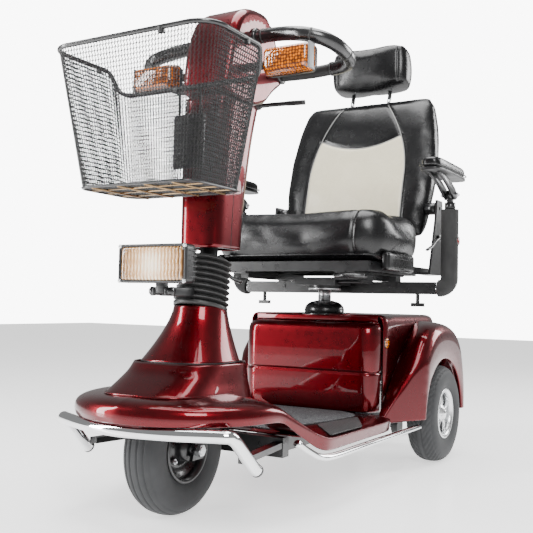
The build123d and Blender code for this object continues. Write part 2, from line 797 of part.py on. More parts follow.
LEVER_Z = (869, 881)
THROTTLE_OUTLINE = [
    (-128, -134),
    (-40, -146),
    (40, -146),
    (128, -134),
    (128, -144),
    (40, -158),
    (-40, -158),
    (-128, -144),
]
with BuildPart() as throttle_lever:
    with BuildSketch(Plane.XY.offset(LEVER_Z[0])):
        with Locations((0, THROTTLE_Y)):
            Circle(14)
        with BuildLine():
            Polyline(*THROTTLE_OUTLINE, close=True)
        make_face()
    extrude(amount=LEVER_Z[1] - LEVER_Z[0])
    with BuildSketch(Plane.XY.offset(LEVER_Z[0])):
        with Locations((0, THROTTLE_Y)):
            Circle(5 + RUNNING_FIT)
    extrude(amount=20, mode=Mode.SUBTRACT)

HANDLE_RADIUS = 15.5
HANDLE_ROUTE = [
    (63.2, -256, 998),
    (110, -258, 996),
    (205, -286, 976),
    (254, -225, 958),
    (236, -140, 946),
    (150, -130, 943),
    (64.4, -142, 942),
]
with BuildPart() as handlebars:
    with BuildLine() as handle_path:
        FilletPolyline(*HANDLE_ROUTE, radius=[60, 48, 60, 40, 60])
    with BuildSketch(handle_path.line ^ 0):
        Circle(HANDLE_RADIUS)
    sweep()
    mirror(about=Plane.YZ)

with BuildPart() as turn_signals:
    for side in (-1, 1):
        box(sorted((side * 112, side * 228)), (-296, -282), (892, 950))
        bar_along_x(sorted((side * (HEAD_HALF_WIDTH + 0.2), side * 114)), -289, 922, 7)

with BuildPart() as turn_signal_lenses:
    for side in (-1, 1):
        with BuildSketch(Plane(origin=(side * 170, -296.2, 921), x_dir=(1, 0, 0), z_dir=(0, -1, 0))):
            RectangleRounded(118, 60, 10)
        extrude(amount=32, taper=9)

BASKET_BACK_Y = -413
BASKET_WALL = 3
BASKET_BOTTOM = 632


def basket_form(inset, top):
    """The basket as a closed form from its floor to its rim."""
    return tapered(
        (BASKET_BOTTOM + inset, 138 - inset, -590 + inset, BASKET_BACK_Y - inset, 34 - inset),
        (top, 194 - inset, -620.75 + inset, BASKET_BACK_Y - inset, 48 - inset),
    )


BASKET = basket_form(0, 920)
BASKET_HOLLOW = basket_form(BASKET_WALL, 922)

BASKET_RIM_LINE = [
    (-640, 909),
    (-452, 907),
    (-432, 880),
    (-419, 858),
    (-380, 854),
    (-380, 1000),
    (-640, 1000),
]
with BuildPart() as basket:
    add(BASKET)
    add(BASKET_HOLLOW, mode=Mode.SUBTRACT)
    side_profile((-300, 300), BASKET_RIM_LINE, Mode.SUBTRACT)

with BuildPart() as basket_bracket:
    box((-38, 38), (BASKET_BACK_Y + 1, BASKET_BACK_Y + 5), (690, 800))
    for z in (715, 770):
        box((-14, 14), (BASKET_BACK_Y + 5, -376.5), (z, z + 12))

TILT_HANDLE = [
    (-303, 506),
    (-303, 490),
    (-262, 478),
    (-236, 466),
    (-200, 464),
    (-198, 472),
    (-236, 480),
    (-262, 490),
]
with BuildPart() as tilt_lever:
    side_profile((-5.5, 5.5), TILT_HANDLE)
    bar_along_x((-5.5, 5.5), LEVER_PIVOT_Y, LEVER_PIVOT_Z, 8)
    bar_along_x((-8, 8), LEVER_PIVOT_Y, LEVER_PIVOT_Z, 4 + RUNNING_FIT, Mode.SUBTRACT)

# =============================== seat ===============================

with BuildPart() as seat_post:
    with BuildSketch(Plane.XY.offset(RAIL_TOP + 6)):
        with Locations((0, POST_Y)):
            Circle(POST_RADIUS)
    extrude(amount=458 - RAIL_TOP - 6)
    with BuildSketch(Plane.XY.offset(458)):
        with Locations((0, POST_Y)):
            Circle(44)
    extrude(amount=6)

SEAT_RAIL_X = 140
with BuildPart() as seat_swivel_plate:
    with BuildSketch(Plane.XY.offset(464.3)):
        with Locations((0, POST_Y)):
            Circle(44)
    extrude(amount=6)
    box((-60, 60), (165, 270), (470, 484))
    for y in (168, 240):
        box((-150, 150), (y, y + 28), (484, 490))
    for side in (-1, 1):
        box(sorted((side * 129, side * 151)), (40, 400), (484, 496))

with BuildPart() as swivel_lever:
    box((150, 158), (120, 134), (474, 482))
    bar_along_x((60.5, 158), 181, 478, 4.5)
    box((150, 158), (120, 181), (474, 482))

ARM_BAR_HALF = 16
SIDE_PLATE = [
    (340, 505),
    (440, 505),
    (445, 660),
    (438, 712),
    (395, 712),
    (388, 660),
]
ARM_BAR_Y_SPAN = (ARM_Y - ARM_BAR_HALF, ARM_Y + ARM_BAR_HALF)
ARM_BAR_Z_SPAN = (ARM_BAR_Z - ARM_BAR_HALF, ARM_BAR_Z + ARM_BAR_HALF)
with BuildPart() as seat_pan:
    box((-215, 215), (20, 345), (500, CUSHION_BOTTOM - 0.5))
    box((-207, 207), (28, 337), (499, CUSHION_BOTTOM - 4), mode=Mode.SUBTRACT)
    for side in (-1, 1):
        box(sorted((side * 126, side * 154)), (20, 345), (496.4, 501))
        box(sorted((side * 158, side * 180)), (20, 345), (497, 501))
        box(sorted((side * 158, side * 180)), (ARM_Y - 18, ARM_Y + 18), (ARM_BAR_Z, 500))
        box(sorted((side * 214, side * 222)), (250, 440), (505, CUSHION_BOTTOM - 0.5))
        side_profile(sorted((side * 250, side * 256)), SIDE_PLATE)
        box(sorted((side * 214, side * 256)), (350, 440), (505, 511))
    box((-286, 286), ARM_BAR_Y_SPAN, ARM_BAR_Z_SPAN)
    for side in (-1, 1):
        bar_along_x(
            sorted((side * 110, side * 290)), ARM_Y, ARM_BAR_Z, ARM_TUBE_RADIUS + RUNNING_FIT, Mode.SUBTRACT
        )
        with Locations((side * 235, ARM_Y, ARM_BAR_Z - 30)):
            Cylinder(5, 28)
            with Locations((0, 0, -14)):
                Box(34, 12, 10)
        bar_along_x(
            sorted((side * 110, side * 290)), ARM_Y, ARM_BAR_Z, ARM_TUBE_RADIUS + RUNNING_FIT, Mode.SUBTRACT
        )
    bar_along_x((-260, 260), BACK_PIVOT_Y, BACK_PIVOT_Z, 5 + RUNNING_FIT, Mode.SUBTRACT)

with BuildPart() as seat_cushion:
    with BuildSketch(Plane.XY.offset(CUSHION_BOTTOM)):
        with Locations((0, 174)):
            RectangleRounded(2 * CUSHION_HALF_WIDTH, 348, 60)
    extrude(amount=CUSHION_TOP - CUSHION_BOTTOM)
    fillet(seat_cushion.faces().sort_by(Axis.Z)[-1].edges(), 40)
    fillet(seat_cushion.faces().sort_by(Axis.Z)[0].edges(), 16)
    for side in (-1, 1):
        box(sorted((side * 224, side * 249)), (66, 245), (503, CUSHION_BOTTOM + 20))

with BuildPart() as slide_lever:
    box((190, 196), (-30, 60), (484, 490))
    box((155, 230), (-36, -28), (482, 492))
    with BuildSketch(Plane.XY.offset(482)):
        with Locations((193, 65)):
            Circle(7)
    extrude(amount=14)

with BuildPart() as backrest:
    with BuildSketch(BACK.offset(-88)):
        with Locations((0, 8)):
            RectangleRounded(450, 66, 26)
    with BuildSketch(BACK.offset(150)):
        with Locations((0, 18)):
            RectangleRounded(492, 96, 34)
    with BuildSketch(BACK.offset(366)):
        with Locations((0, 14)):
            RectangleRounded(424, 84, 32)
    loft()
    bar_along_x((-258, 258), BACK_PIVOT_Y, BACK_PIVOT_Z, 5)
    for side in (-1, 1):
        bar_along_x(sorted((side * 220, side * 249)), BACK_PIVOT_Y, BACK_PIVOT_Z, 14)

HEADREST_POST_X = 60
with BuildPart() as headrest:
    with BuildSketch(BACK.offset(390)):
        with Locations((0, 8)):
            RectangleRounded(246, 100, 30)
    with BuildSketch(BACK.offset(455)):
        with Locations((0, -6)):
            RectangleRounded(264, 112, 34)
    with BuildSketch(BACK.offset(524)):
        with Locations((0, -28)):
            RectangleRounded(252, 96, 34)
    loft()
    for side in (-1, 1):
        with BuildSketch(BACK.offset(290)):
            with Locations((side * HEADREST_POST_X, 12)):
                Circle(6)
        extrude(amount=130)
with BuildPart() as headrest_bores:
    for side in (-1, 1):
        with BuildSketch(BACK.offset(280)):
            with Locations((side * HEADREST_POST_X, 12)):
                Circle(6 + RUNNING_FIT)
        extrude(amount=120)
backrest.part = backrest.part - headrest_bores.part

RECLINE_HANDLE = [
    (400, 600),
    (414, 612),
    (408, 620),
    (340, 585),
    (300, 572),
    (300, 562),
    (344, 574),
]
with BuildPart() as recline_lever:
    side_profile((257.4, 263), RECLINE_HANDLE)
    bar_along_x((256.6, 263), 404, 608, 8)

ARM_BEND_RADIUS = 26
SLEEVE_ROUTE = [(290, ARM_Y, ARM_BAR_Z), (ARM_X, ARM_Y, ARM_BAR_Z), (ARM_X, ARM_Y, 674)]


def armrest_support():
    """The bent arm tube with its foam sleeve, on the +X side."""
    with BuildPart() as support:
        bar_along_x((150, 293), ARM_Y, ARM_BAR_Z, ARM_TUBE_RADIUS)
        with BuildLine() as sleeve_path:
            FilletPolyline(*SLEEVE_ROUTE, radius=ARM_BEND_RADIUS)
        with BuildSketch(sleeve_path.line ^ 0):
            Circle(ARM_SLEEVE_RADIUS)
        sweep()
        with BuildSketch(Plane.XY.offset(672)):
            with Locations((ARM_X, ARM_Y)):
                Circle(ARM_TUBE_RADIUS)
        extrude(amount=18)
        box((ARM_X - 7, ARM_X + 7), (ARM_Y - 9, ARM_Y + 9), (688, ARM_PIVOT_Z))
        bar_along_x((ARM_X - 7, ARM_X + 7), ARM_Y, ARM_PIVOT_Z, 13)
        bar_along_x((ARM_X - 18, ARM_X + 18), ARM_Y, ARM_PIVOT_Z, 4.5)
    return support


def armrest():
    """The flip-up armrest: an angled bracket with two cheeks under a long pad, on the +X side."""
    with BuildPart() as rest:
        for x in ((ARM_X - 15, ARM_X - 8), (ARM_X + 8, ARM_X + 15)):
            side_profile(x, [(292, 700), (318, 698), (322, 716), (222, 752), (168, 752), (178, 742)])
            bar_along_x(x, ARM_Y, ARM_PIVOT_Z, 14)
        bar_along_x((ARM_X - 20, ARM_X + 20), ARM_Y, ARM_PIVOT_Z, 4.5 + RUNNING_FIT, Mode.SUBTRACT)
        with BuildSketch(Plane.XY.offset(752)):
            with Locations((ARM_X, 252)):
                RectangleRounded(64, 244, 20)
        extrude(amount=39)
        fillet(rest.faces().sort_by(Axis.Z)[-1].edges(), 12)
    return rest


def mirrored(part):
    """A copy of a finished part on the -X side."""
    with BuildPart() as copy:
        add(part.part)
        mirror(about=Plane.YZ)
        split(bisect_by=Plane.YZ, keep=Keep.BOTTOM)
    return copy


armrest_tube_left = armrest_support()
armrest_tube_right = mirrored(armrest_tube_left)
armrest_left = armrest()
armrest_right = mirrored(armrest_left)

# ============================ rear wheels ============================

SPOKES = 5


def rear_tyre():
    """A rear tyre on the +X side."""
    with BuildPart() as tyre:
        wheel_profile(REAR_WHEEL_X, REAR_AXLE_Y, tyre_points(REAR_TYRE_WIDTH))
    return tyre


def rear_rim():
    """A spoked rear rim with its half shaft, on the +X side."""
    with BuildPart() as rim:
        wheel_profile(
            REAR_WHEEL_X,
            REAR_AXLE_Y,
            [(-34, RIM_RADIUS - 0.1), (-34, 57), (34, 57), (34, RIM_RADIUS - 0.1)],
        )
        with BuildSketch(side_plane(REAR_WHEEL_X + 12)):
            with Locations((REAR_AXLE_Y, TYRE_RADIUS)):
                with PolarLocations(0, SPOKES):
                    with Locations((40, 0)):
                        Rectangle(40, 15)
                Circle(24)
        extrude(amount=14)
        bar_along_x((REAR_WHEEL_X - 34, REAR_WHEEL_X + 28), REAR_AXLE_Y, TYRE_RADIUS, 18)
        bar_along_x((46, REAR_WHEEL_X + 10), REAR_AXLE_Y, TYRE_RADIUS, HALF_SHAFT_RADIUS)
    return rim


rear_tyre_left = rear_tyre()
rear_tyre_right = mirrored(rear_tyre_left)
rear_rim_left = rear_rim()
rear_rim_right = mirrored(rear_rim_left)

with BuildPart() as anti_tip_wheels:
    bar_along_x((-84, 84), 584, 56, 6)
    for side in (-1, 1):
        bar_along_x(sorted((side * 64, side * 84)), 584, 56, 24)

FREEWHEEL_HANDLE = [
    (440, 168),
    (452, 176),
    (520, 214),
    (560, 226),
    (556, 236),
    (512, 226),
    (440, 186),
]
with BuildPart() as freewheel_lever:
    side_profile((133.2, 139), FREEWHEEL_HANDLE)
    bar_along_x((133.2, 139), 446, 176, 11)

PIECES = {
    "main_frame": main_frame,
    "steering_bearings": steering_bearings,
    "floor_pan": floor_pan,
    "floor_mats": floor_mats,
    "lower_cowl": lower_cowl,
    "upper_cowl": upper_cowl,
    "battery_cover": battery_cover,
    "rear_shroud": rear_shroud,
    "seat_post_boot": seat_post_boot,
    "batteries": batteries,
    "controller": controller,
    "transaxle": transaxle,
    "front_bumper": front_bumper,
    "side_rails": side_rails,
    "rear_bumper": rear_bumper,
    "tail_lights": tail_lights,
    "side_reflectors": side_reflectors,
    "front_fork": front_fork,
    "front_axle": front_axle,
    "tiller_boot": tiller_boot,
    "headlight_bracket": headlight_bracket,
    "headlight_housing": headlight_housing,
    "headlight_lens": headlight_lens,
    "front_tyre": front_tyre,
    "front_rim": front_rim,
    "tiller_column": tiller_column,
    "tiller_cover": tiller_cover,
    "tiller_head": tiller_head,
    "dash_panel": dash_panel,
    "handlebars": handlebars,
    "turn_signals": turn_signals,
    "turn_signal_lenses": turn_signal_lenses,
    "basket_bracket": basket_bracket,
    "basket": basket,
    "throttle_lever": throttle_lever,
    "speed_knob": speed_knob,
    "ignition_key": ignition_key,
    "horn_button": horn_button,
    "light_button": light_button,
    "indicator_switch": indicator_switch,
    "tilt_lever": tilt_lever,
    "seat_post": seat_post,
    "seat_swivel_plate": seat_swivel_plate,
    "swivel_lever": swivel_lever,
    "seat_pan": seat_pan,
    "seat_cushion": seat_cushion,
    "slide_lever": slide_lever,
    "backrest": backrest,
    "recline_lever": recline_lever,
    "headrest": headrest,
    "armrest_tube_left": armrest_tube_left,
    "armrest_tube_right": armrest_tube_right,
    "armrest_left": armrest_left,
    "armrest_right": armrest_right,
    "rear_tyre_left": rear_tyre_left,
    "rear_tyre_right": rear_tyre_right,
    "rear_rim_left": rear_rim_left,
    "rear_rim_right": rear_rim_right,
    "anti_tip_wheels": anti_tip_wheels,
    "freewheel_lever": freewheel_lever,
}

os.makedirs("parts", exist_ok=True)
for node, piece in PIECES.items():
    piece.part.label = node
    export_step(piece.part, f"parts/{node}.step")
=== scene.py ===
"""Looks of the mobility scooter: painted shells, upholstery, wheels, wire basket and lamps."""
from math import atan2, copysign, cos, exp, hypot, pi, radians, sin, sqrt

import bmesh
import bpy
import numpy as np
from mathutils import Matrix, Vector


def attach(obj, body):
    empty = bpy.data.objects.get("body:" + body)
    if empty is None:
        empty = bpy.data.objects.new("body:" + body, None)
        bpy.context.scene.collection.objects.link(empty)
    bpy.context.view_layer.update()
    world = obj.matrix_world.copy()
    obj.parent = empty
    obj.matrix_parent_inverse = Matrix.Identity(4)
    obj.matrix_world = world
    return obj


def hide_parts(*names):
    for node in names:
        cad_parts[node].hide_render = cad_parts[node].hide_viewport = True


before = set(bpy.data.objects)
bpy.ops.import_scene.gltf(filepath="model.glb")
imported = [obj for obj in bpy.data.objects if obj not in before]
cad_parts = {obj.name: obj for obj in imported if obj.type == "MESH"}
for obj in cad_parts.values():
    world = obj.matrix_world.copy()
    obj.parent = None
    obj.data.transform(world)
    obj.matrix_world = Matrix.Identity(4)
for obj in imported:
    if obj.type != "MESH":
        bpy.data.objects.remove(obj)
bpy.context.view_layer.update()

RAKE = radians(13)
RECLINE = radians(15)
WHEEL_Z = 130
REAR_AXLE_Y = 414
FRONT_AXLE_Y = -430
REAR_WHEEL_X = 246
ARM_X = 320
ARM_Y = 305
STEER_AT = np.array([0, -355, 412.0])
STEER_UP = np.array([0, sin(RAKE), cos(RAKE)])
BACK_AT = np.array([0, 415, 690.0])
BACK_UP = np.array([0, sin(RECLINE), cos(RECLINE)])
BACK_REAR = np.array([0, cos(RECLINE), -sin(RECLINE)])


# ------------------------------- materials -------------------------------
class Kit:
    """A short way to build one material's nodes around a principled shader."""

    def __init__(self, name):
        self.material = bpy.data.materials.new(name)
        self.material.use_nodes = True
        self.tree = self.material.node_tree
        self.tree.nodes.clear()
        out = self.tree.nodes.new("ShaderNodeOutputMaterial")
        self.shader = self.tree.nodes.new("ShaderNodeBsdfPrincipled")
        self.tree.links.new(self.shader.outputs[0], out.inputs[0])
        self.coord = self.tree.nodes.new("ShaderNodeTexCoord").outputs["Object"]

    def put(self, socket, value):
        if isinstance(value, bpy.types.NodeSocket):
            self.tree.links.new(value, socket)
        elif hasattr(value, "__len__") and len(value) == 3 and socket.type == "RGBA":
            socket.default_value = (*value, 1)
        else:
            socket.default_value = value

    def set(self, **inputs):
        for key, value in inputs.items():
            self.put(self.shader.inputs[key.replace("_", " ")], value)

    def node(self, kind, settings=None, **inputs):
        n = self.tree.nodes.new(kind)
        for key, value in (settings or {}).items():
            setattr(n, key, value)
        for key, value in inputs.items():
            self.put(n.inputs[key.replace("_", " ")], value)
        return n

    def scaled(self, factors, turn=(0, 0, 0), shift=(0, 0, 0)):
        return self.node("ShaderNodeMapping", Vector=self.coord, Scale=factors, Rotation=turn,
            Location=shift).outputs[0]

    def noise(self, scale, detail=3.0, rough=0.5, vector=None):
        source = self.coord if vector is None else vector
        return self.node("ShaderNodeTexNoise", Vector=source, Scale=scale, Detail=detail,
            Roughness=rough).outputs[0]

    def cells(self, scale, vector=None, feature="F1", randomness=1.0):
        source = self.coord if vector is None else vector
        n = self.node("ShaderNodeTexVoronoi", {"feature": feature}, Vector=source, Scale=scale,
            Randomness=randomness)
        return n.outputs["Distance"]

    def wave(self, scale, vector=None, direction="X", profile="SIN"):
        source = self.coord if vector is None else vector
        settings = {"bands_direction": direction, "wave_profile": profile}
        return self.node("ShaderNodeTexWave", settings, Vector=source, Scale=scale).outputs["Fac"]

    def ramp(self, fac, *stops):
        n = self.node("ShaderNodeValToRGB", Fac=fac)
        while len(n.color_ramp.elements) < len(stops):
            n.color_ramp.elements.new(0.5)
        for element, (at, colour) in zip(n.color_ramp.elements, stops):
            element.position = at
            element.color = (*colour, 1) if hasattr(colour, "__len__") else (colour, colour, colour, 1)
        return n.outputs[0]

    def mix(self, fac, a, b):
        n = self.tree.nodes.new("ShaderNodeMix")
        n.data_type = "RGBA"
        self.put(n.inputs[0], fac)
        self.put(n.inputs[6], a)
        self.put(n.inputs[7], b)
        return n.outputs[2]

    def math(self, operation, a, b=0.0, c=0.0):
        n = self.tree.nodes.new("ShaderNodeMath")
        n.operation = operation
        for socket, value in zip(n.inputs, (a, b, c)):
            self.put(socket, value)
        return n.outputs[0]

    def axes(self, vector=None):
        n = self.node("ShaderNodeSeparateXYZ", Vector=self.coord if vector is None else vector)
        return n.outputs[0], n.outputs[1], n.outputs[2]

    def bump(self, height, distance, strength=1.0, under=None):
        n = self.node("ShaderNodeBump", Height=height, Distance=distance, Strength=strength)
        if under is not None:
            self.put(n.inputs["Normal"], under)
        return n.outputs[0]


def candy_red():
    k = Kit("candy_red")
    cloud = k.noise(3.5, 4)
    flake = k.cells(900)
    base = k.mix(cloud, (0.075, 0.0, 0.0026), (0.125, 0.0, 0.004))
    sparkle = k.ramp(flake, (0.0, (0.4, 0.002, 0.012)), (0.28, (0.07, 0.0, 0.002)))
    n = k.mix(0.12, base, sparkle)
    k.set(Base_Color=n, Metallic=0.9, Specular_IOR_Level=0.2, Coat_Weight=0.8, Coat_IOR=1.4)
    k.set(Roughness=k.ramp(k.noise(60, 3), (0.3, 0.26), (0.7, 0.34)), Coat_Roughness=0.025)
    peel = k.bump(k.noise(140, 2), 0.00003, 0.3)
    k.set(Coat_Normal=peel, Normal=k.bump(flake, 0.00004, 0.5))
    return k.material


def moulded(name, colour, rough=0.5, grain=0.00012, scale=900, vary=0.25, coat=0.0):
    k = Kit(name)
    cloud = k.noise(14, 5)
    lighter = tuple(min(1, c * (1 + vary) + 0.004) for c in colour)
    k.set(Base_Color=k.mix(cloud, colour, lighter), Coat_Weight=coat, Coat_Roughness=0.1)
    k.set(Roughness=k.ramp(k.noise(35, 4), (0.3, rough * 0.88), (0.75, min(1, rough * 1.18))))
    k.set(Normal=k.bump(k.math("ADD", k.noise(scale, 2), k.noise(scale / 6, 3)), grain, 0.6))
    return k.material


def metal(name, colour, rough, brushed=0.0, scratches=0.00003, speck=0.0):
    k = Kit(name)
    streak = k.noise(90, 4, vector=k.scaled((1, 1, 1 + 30 * brushed)))
    darker = tuple(c * (0.86 - speck) for c in colour)
    k.set(Base_Color=k.mix(k.noise(22, 4), colour, darker), Metallic=1.0)
    k.set(Roughness=k.ramp(streak, (0.3, rough * 0.75), (0.75, rough * 1.35 + 0.01)))
    k.set(Normal=k.bump(streak, scratches, 0.5))
    return k.material


def leather_shader(k, colour_a, colour_b, rough=0.25):
    wobble = k.node("ShaderNodeVectorMath", {"operation": "ADD"})
    k.put(wobble.inputs[0], k.coord)
    k.put(wobble.inputs[1], k.node("ShaderNodeVectorMath", {"operation": "SCALE"}, Vector=k.node(
        "ShaderNodeTexNoise", Vector=k.coord, Scale=120.0).outputs["Color"], Scale=0.004).outputs[0])
    pebble = k.cells(420, wobble.outputs[0], feature="DISTANCE_TO_EDGE")
    # Painted shade: the pebble grain's creases are coloured darker; the same ramp also gives the grain's
    # bump.
    crease = k.ramp(pebble, (0.0, 0.0), (0.16, 1.0))
    colour = k.mix(crease, tuple(c * 0.72 for c in colour_a), colour_a)
    k.set(Base_Color=k.mix(k.noise(9, 4), colour, colour_b), Specular_IOR_Level=0.34)
    k.set(Roughness=k.ramp(k.noise(26, 5), (0.3, rough * 0.85), (0.75, rough * 1.3)), Coat_Weight=0.08,
        Coat_Roughness=0.15)
    fine = k.bump(crease, 0.00016, 0.35)
    k.set(Normal=k.bump(k.noise(34, 4), 0.0008, 0.25, under=fine))


def leather_black():
    k = Kit("leather_black")
    leather_shader(k, (0.0035, 0.0035, 0.0038), (0.006, 0.006, 0.0065))
    return k.material


def rubber_tyre():
    k = Kit("tyre_grey")
    dust = k.noise(18, 6, 0.6)
    k.set(Base_Color=k.mix(dust, (0.022, 0.023, 0.024), (0.05, 0.051, 0.053)), Roughness=0.66,
        Specular_IOR_Level=0.3)
    k.set(Normal=k.bump(k.math("ADD", k.noise(300, 3), k.noise(40, 3)), 0.0003, 0.6))
    return k.material


def floor_mat_rubber():
    k = Kit("mat_speckled")
    dots = k.ramp(k.cells(230), (0.18, 1.0), (0.3, 0.0))
    flecks = k.ramp(k.noise(420, 2), (0.55, 0.0), (0.66, 1.0))
    base = k.mix(flecks, (0.03, 0.031, 0.034), (0.16, 0.165, 0.17))
    k.set(Base_Color=k.mix(dots, base, (0.14, 0.145, 0.15)), Roughness=0.78)
    k.set(Normal=k.bump(dots, 0.0008, 0.7))
    return k.material


def tread_rubber():
    k = Kit("tread_rubber")
    across = k.wave(42, k.scaled((1, 1, 1), (0, 0, 0.785)), profile="SIN")
    along = k.wave(42, k.scaled((1, 1, 1), (0, 0, -0.785)), profile="SIN")
    lug = k.ramp(k.math("MULTIPLY", across, along), (0.3, 0.0), (0.42, 1.0))
    k.set(Base_Color=k.mix(lug, (0.014, 0.014, 0.014), (0.045, 0.045, 0.047)), Roughness=0.62)
    k.set(Normal=k.bump(lug, 0.0012, 0.9))
    return k.material


def lens(name, colour, facets=260, rough=0.12, glow=0.0):
    k = Kit(name)
    pattern = k.cells(facets, feature="F1", randomness=0.3)
    # Painted glints: each facet is coloured brighter at its middle and darker towards its edges.
    k.set(Base_Color=k.ramp(pattern, (0.1, tuple(min(1, c * 1.4) for c in colour)), (0.55,
        tuple(c * 0.12 for c in colour))), Roughness=rough, Coat_Weight=1.0)
    k.set(Transmission_Weight=0.1, IOR=1.49, Normal=k.bump(pattern, 0.0011, 0.8))
    # Painted glow: the lens shines faintly by the glow amount, the side reflectors too, which are no lamp.
    k.set(Emission_Color=k.mix(pattern, colour, tuple(c * 0.3 for c in colour)), Emission_Strength=glow)
    return k.material


def headlight_glass():
    k = Kit("headlight_glass")
    x, y, z = k.axes()
    flutes = k.wave(38, direction="X")
    rows = k.wave(14, direction="Z")
    pattern = k.math("MULTIPLY", flutes, k.math("ADD", k.math("MULTIPLY", rows, 0.5), 0.5))
    radius = k.math("SQRT", k.math("ADD", k.math("MULTIPLY", x, x), k.math("MULTIPLY",
        k.math("SUBTRACT", z, 0.488), k.math("SUBTRACT", z, 0.488))))
    spot = k.ramp(radius, (0.0, 1.0), (0.03, 0.55), (0.075, 0.1))
    # Painted highlights: the clear glass is coloured warm, bright along its flutes and brightest in the
    # middle spot; the spot also glows.
    warm = k.ramp(k.math("ADD", k.math("MULTIPLY", pattern, 0.4), k.math("MULTIPLY", spot, 0.7)),
                  (0.12, (0.07, 0.03, 0.01)), (0.4, (0.5, 0.25, 0.08)), (0.8, (0.95, 0.8, 0.6)))
    k.set(Base_Color=warm, Roughness=0.08, Coat_Weight=1.0, Emission_Color=warm)
    k.set(Emission_Strength=k.math("MULTIPLY", spot, 0.8), Normal=k.bump(pattern, 0.0016, 0.8))
    return k.material


RED = candy_red()
BLACK_PLASTIC = moulded("black_plastic", (0.006, 0.006, 0.0065), 0.38)
SATIN_PLASTIC = moulded("satin_plastic", (0.007, 0.007, 0.0075), 0.26, coat=0.3)
GREY_PLASTIC = moulded("grey_plastic", (0.16, 0.165, 0.17), 0.45)
POWDER = moulded("powder_coat", (0.006, 0.006, 0.0065), 0.3, grain=0.00016, scale=700, coat=0.25)
FOAM = moulded("foam_grip", (0.014, 0.014, 0.014), 0.85, grain=0.0006, scale=420)
RUBBER = moulded("black_rubber", (0.012, 0.012, 0.012), 0.5, grain=0.0002, scale=300)
CHROME = metal("chrome", (0.86, 0.87, 0.88), 0.045, scratches=0.00001)
STEEL = metal("steel", (0.6, 0.61, 0.62), 0.28, brushed=1)
ALLOY = metal("silver_alloy", (0.78, 0.79, 0.8), 0.3, scratches=0.00004)
BRONZE = metal("bronze_wire", (0.42, 0.28, 0.15), 0.3)
LEATHER = leather_black()
TYRE = rubber_tyre()
MAT = floor_mat_rubber()
TREAD = tread_rubber()
# The amber lenses and the side reflectors get a faint painted glow here.
AMBER = lens("amber_lens", (0.75, 0.17, 0.0), facets=150, rough=0.06, glow=0.06)
RED_LENS = lens("red_lens", (0.75, 0.01, 0.01))
CLEAR = headlight_glass()
BATTERY = moulded("battery_case", (0.03, 0.03, 0.035), 0.5)


# ------------------------------- mesh helpers -------------------------------
def signed_power(value, power):
    """The power of a value's size, with the value's sign."""
    return copysign(abs(value) ** power, value)


def mesh(name, points, faces, material, smooth=True):
    """A mesh object from points in millimetres."""
    data = bpy.data.meshes.new(name)
    data.from_pydata([tuple(float(c) / 1000 for c in p) for p in points], [], faces)
    obj = bpy.data.objects.new(name, data)
    bpy.context.scene.collection.objects.link(obj)
    data.materials.append(material)
    bm = bmesh.new()
    bm.from_mesh(data)
    bmesh.ops.recalc_face_normals(bm, faces=bm.faces)
    bm.to_mesh(data)
    bm.free()
    for polygon in data.polygons:
        polygon.use_smooth = smooth
    return obj


def loft(loops, material, closed=True, caps=(False, False), name="part"):
    """A skin through loops that all have the same number of points."""
    count = len(loops[0])
    points = [p for loop in loops for p in loop]
    faces = []
    for row in range(len(loops) - 1):
        for i in range(count if closed else count - 1):
            j = (i + 1) % count
            faces.append((row * count + i, row * count + j, (row + 1) * count + j, (row + 1) * count + i))
    if caps[0]:
        faces.append(tuple(range(count)))
    if caps[1]:
        faces.append(tuple(range((len(loops) - 1) * count, len(loops) * count)))
    return mesh(name, points, faces, material)


def solid(loops, material, name="part"):
    """A skin through loops, closed at both ends."""
    return loft(loops, material, caps=(True, True), name=name)


def oval(cx, cy, z, a, b, power=2.0, count=72):
    """A superellipse loop at a height: power 2 is an ellipse, more is squarer."""
    loop = []
    for n in range(count):
        t = 2 * pi * n / count
        c, s = cos(t), sin(t)
        x = cx + a * signed_power(c, 2 / power)
        y = cy + b * signed_power(s, 2 / power)
        loop.append((x, y, z))
    return loop


def smooth_values(keys, values, at):
    """Interpolates rows of values with a smooth curve through all the keys."""
    keys = np.array(keys, float)
    values = np.array(values, float)
    slopes = np.gradient(values, keys, axis=0)
    result = []
    for t in at:
        i = int(np.clip(np.searchsorted(keys, t) - 1, 0, len(keys) - 2))
        h = keys[i + 1] - keys[i]
        u = (t - keys[i]) / h
        result.append(
            (2 * u**3 - 3 * u**2 + 1) * values[i]
            + (u**3 - 2 * u**2 + u) * h * slopes[i]
            + (-2 * u**3 + 3 * u**2) * values[i + 1]
            + (u**3 - u**2) * h * slopes[i + 1]
        )
    return np.array(result)


def path_points(points, steps=12, closed=False):
    """A smooth path through the given points."""
    pts = [np.array(p, float) for p in points]
    if closed:
        pts = [pts[-1], *pts, pts[0], pts[1]]
    else:
        pts = [2 * pts[0] - pts[1], *pts, 2 * pts[-1] - pts[-2]]
    result = []
    for i in range(1, len(pts) - 2):
        p0, p1, p2, p3 = pts[i - 1: i + 3]
        for n in range(steps):
            t = n / steps
            result.append(0.5 * (2 * p1 + (p2 - p0) * t + (2 * p0 - 5 * p1 + 4 * p2 - p3) * t**2
                                 + (3 * p1 - p0 - 3 * p2 + p3) * t**3))
    if not closed:
        result.append(pts[-2])
    return result


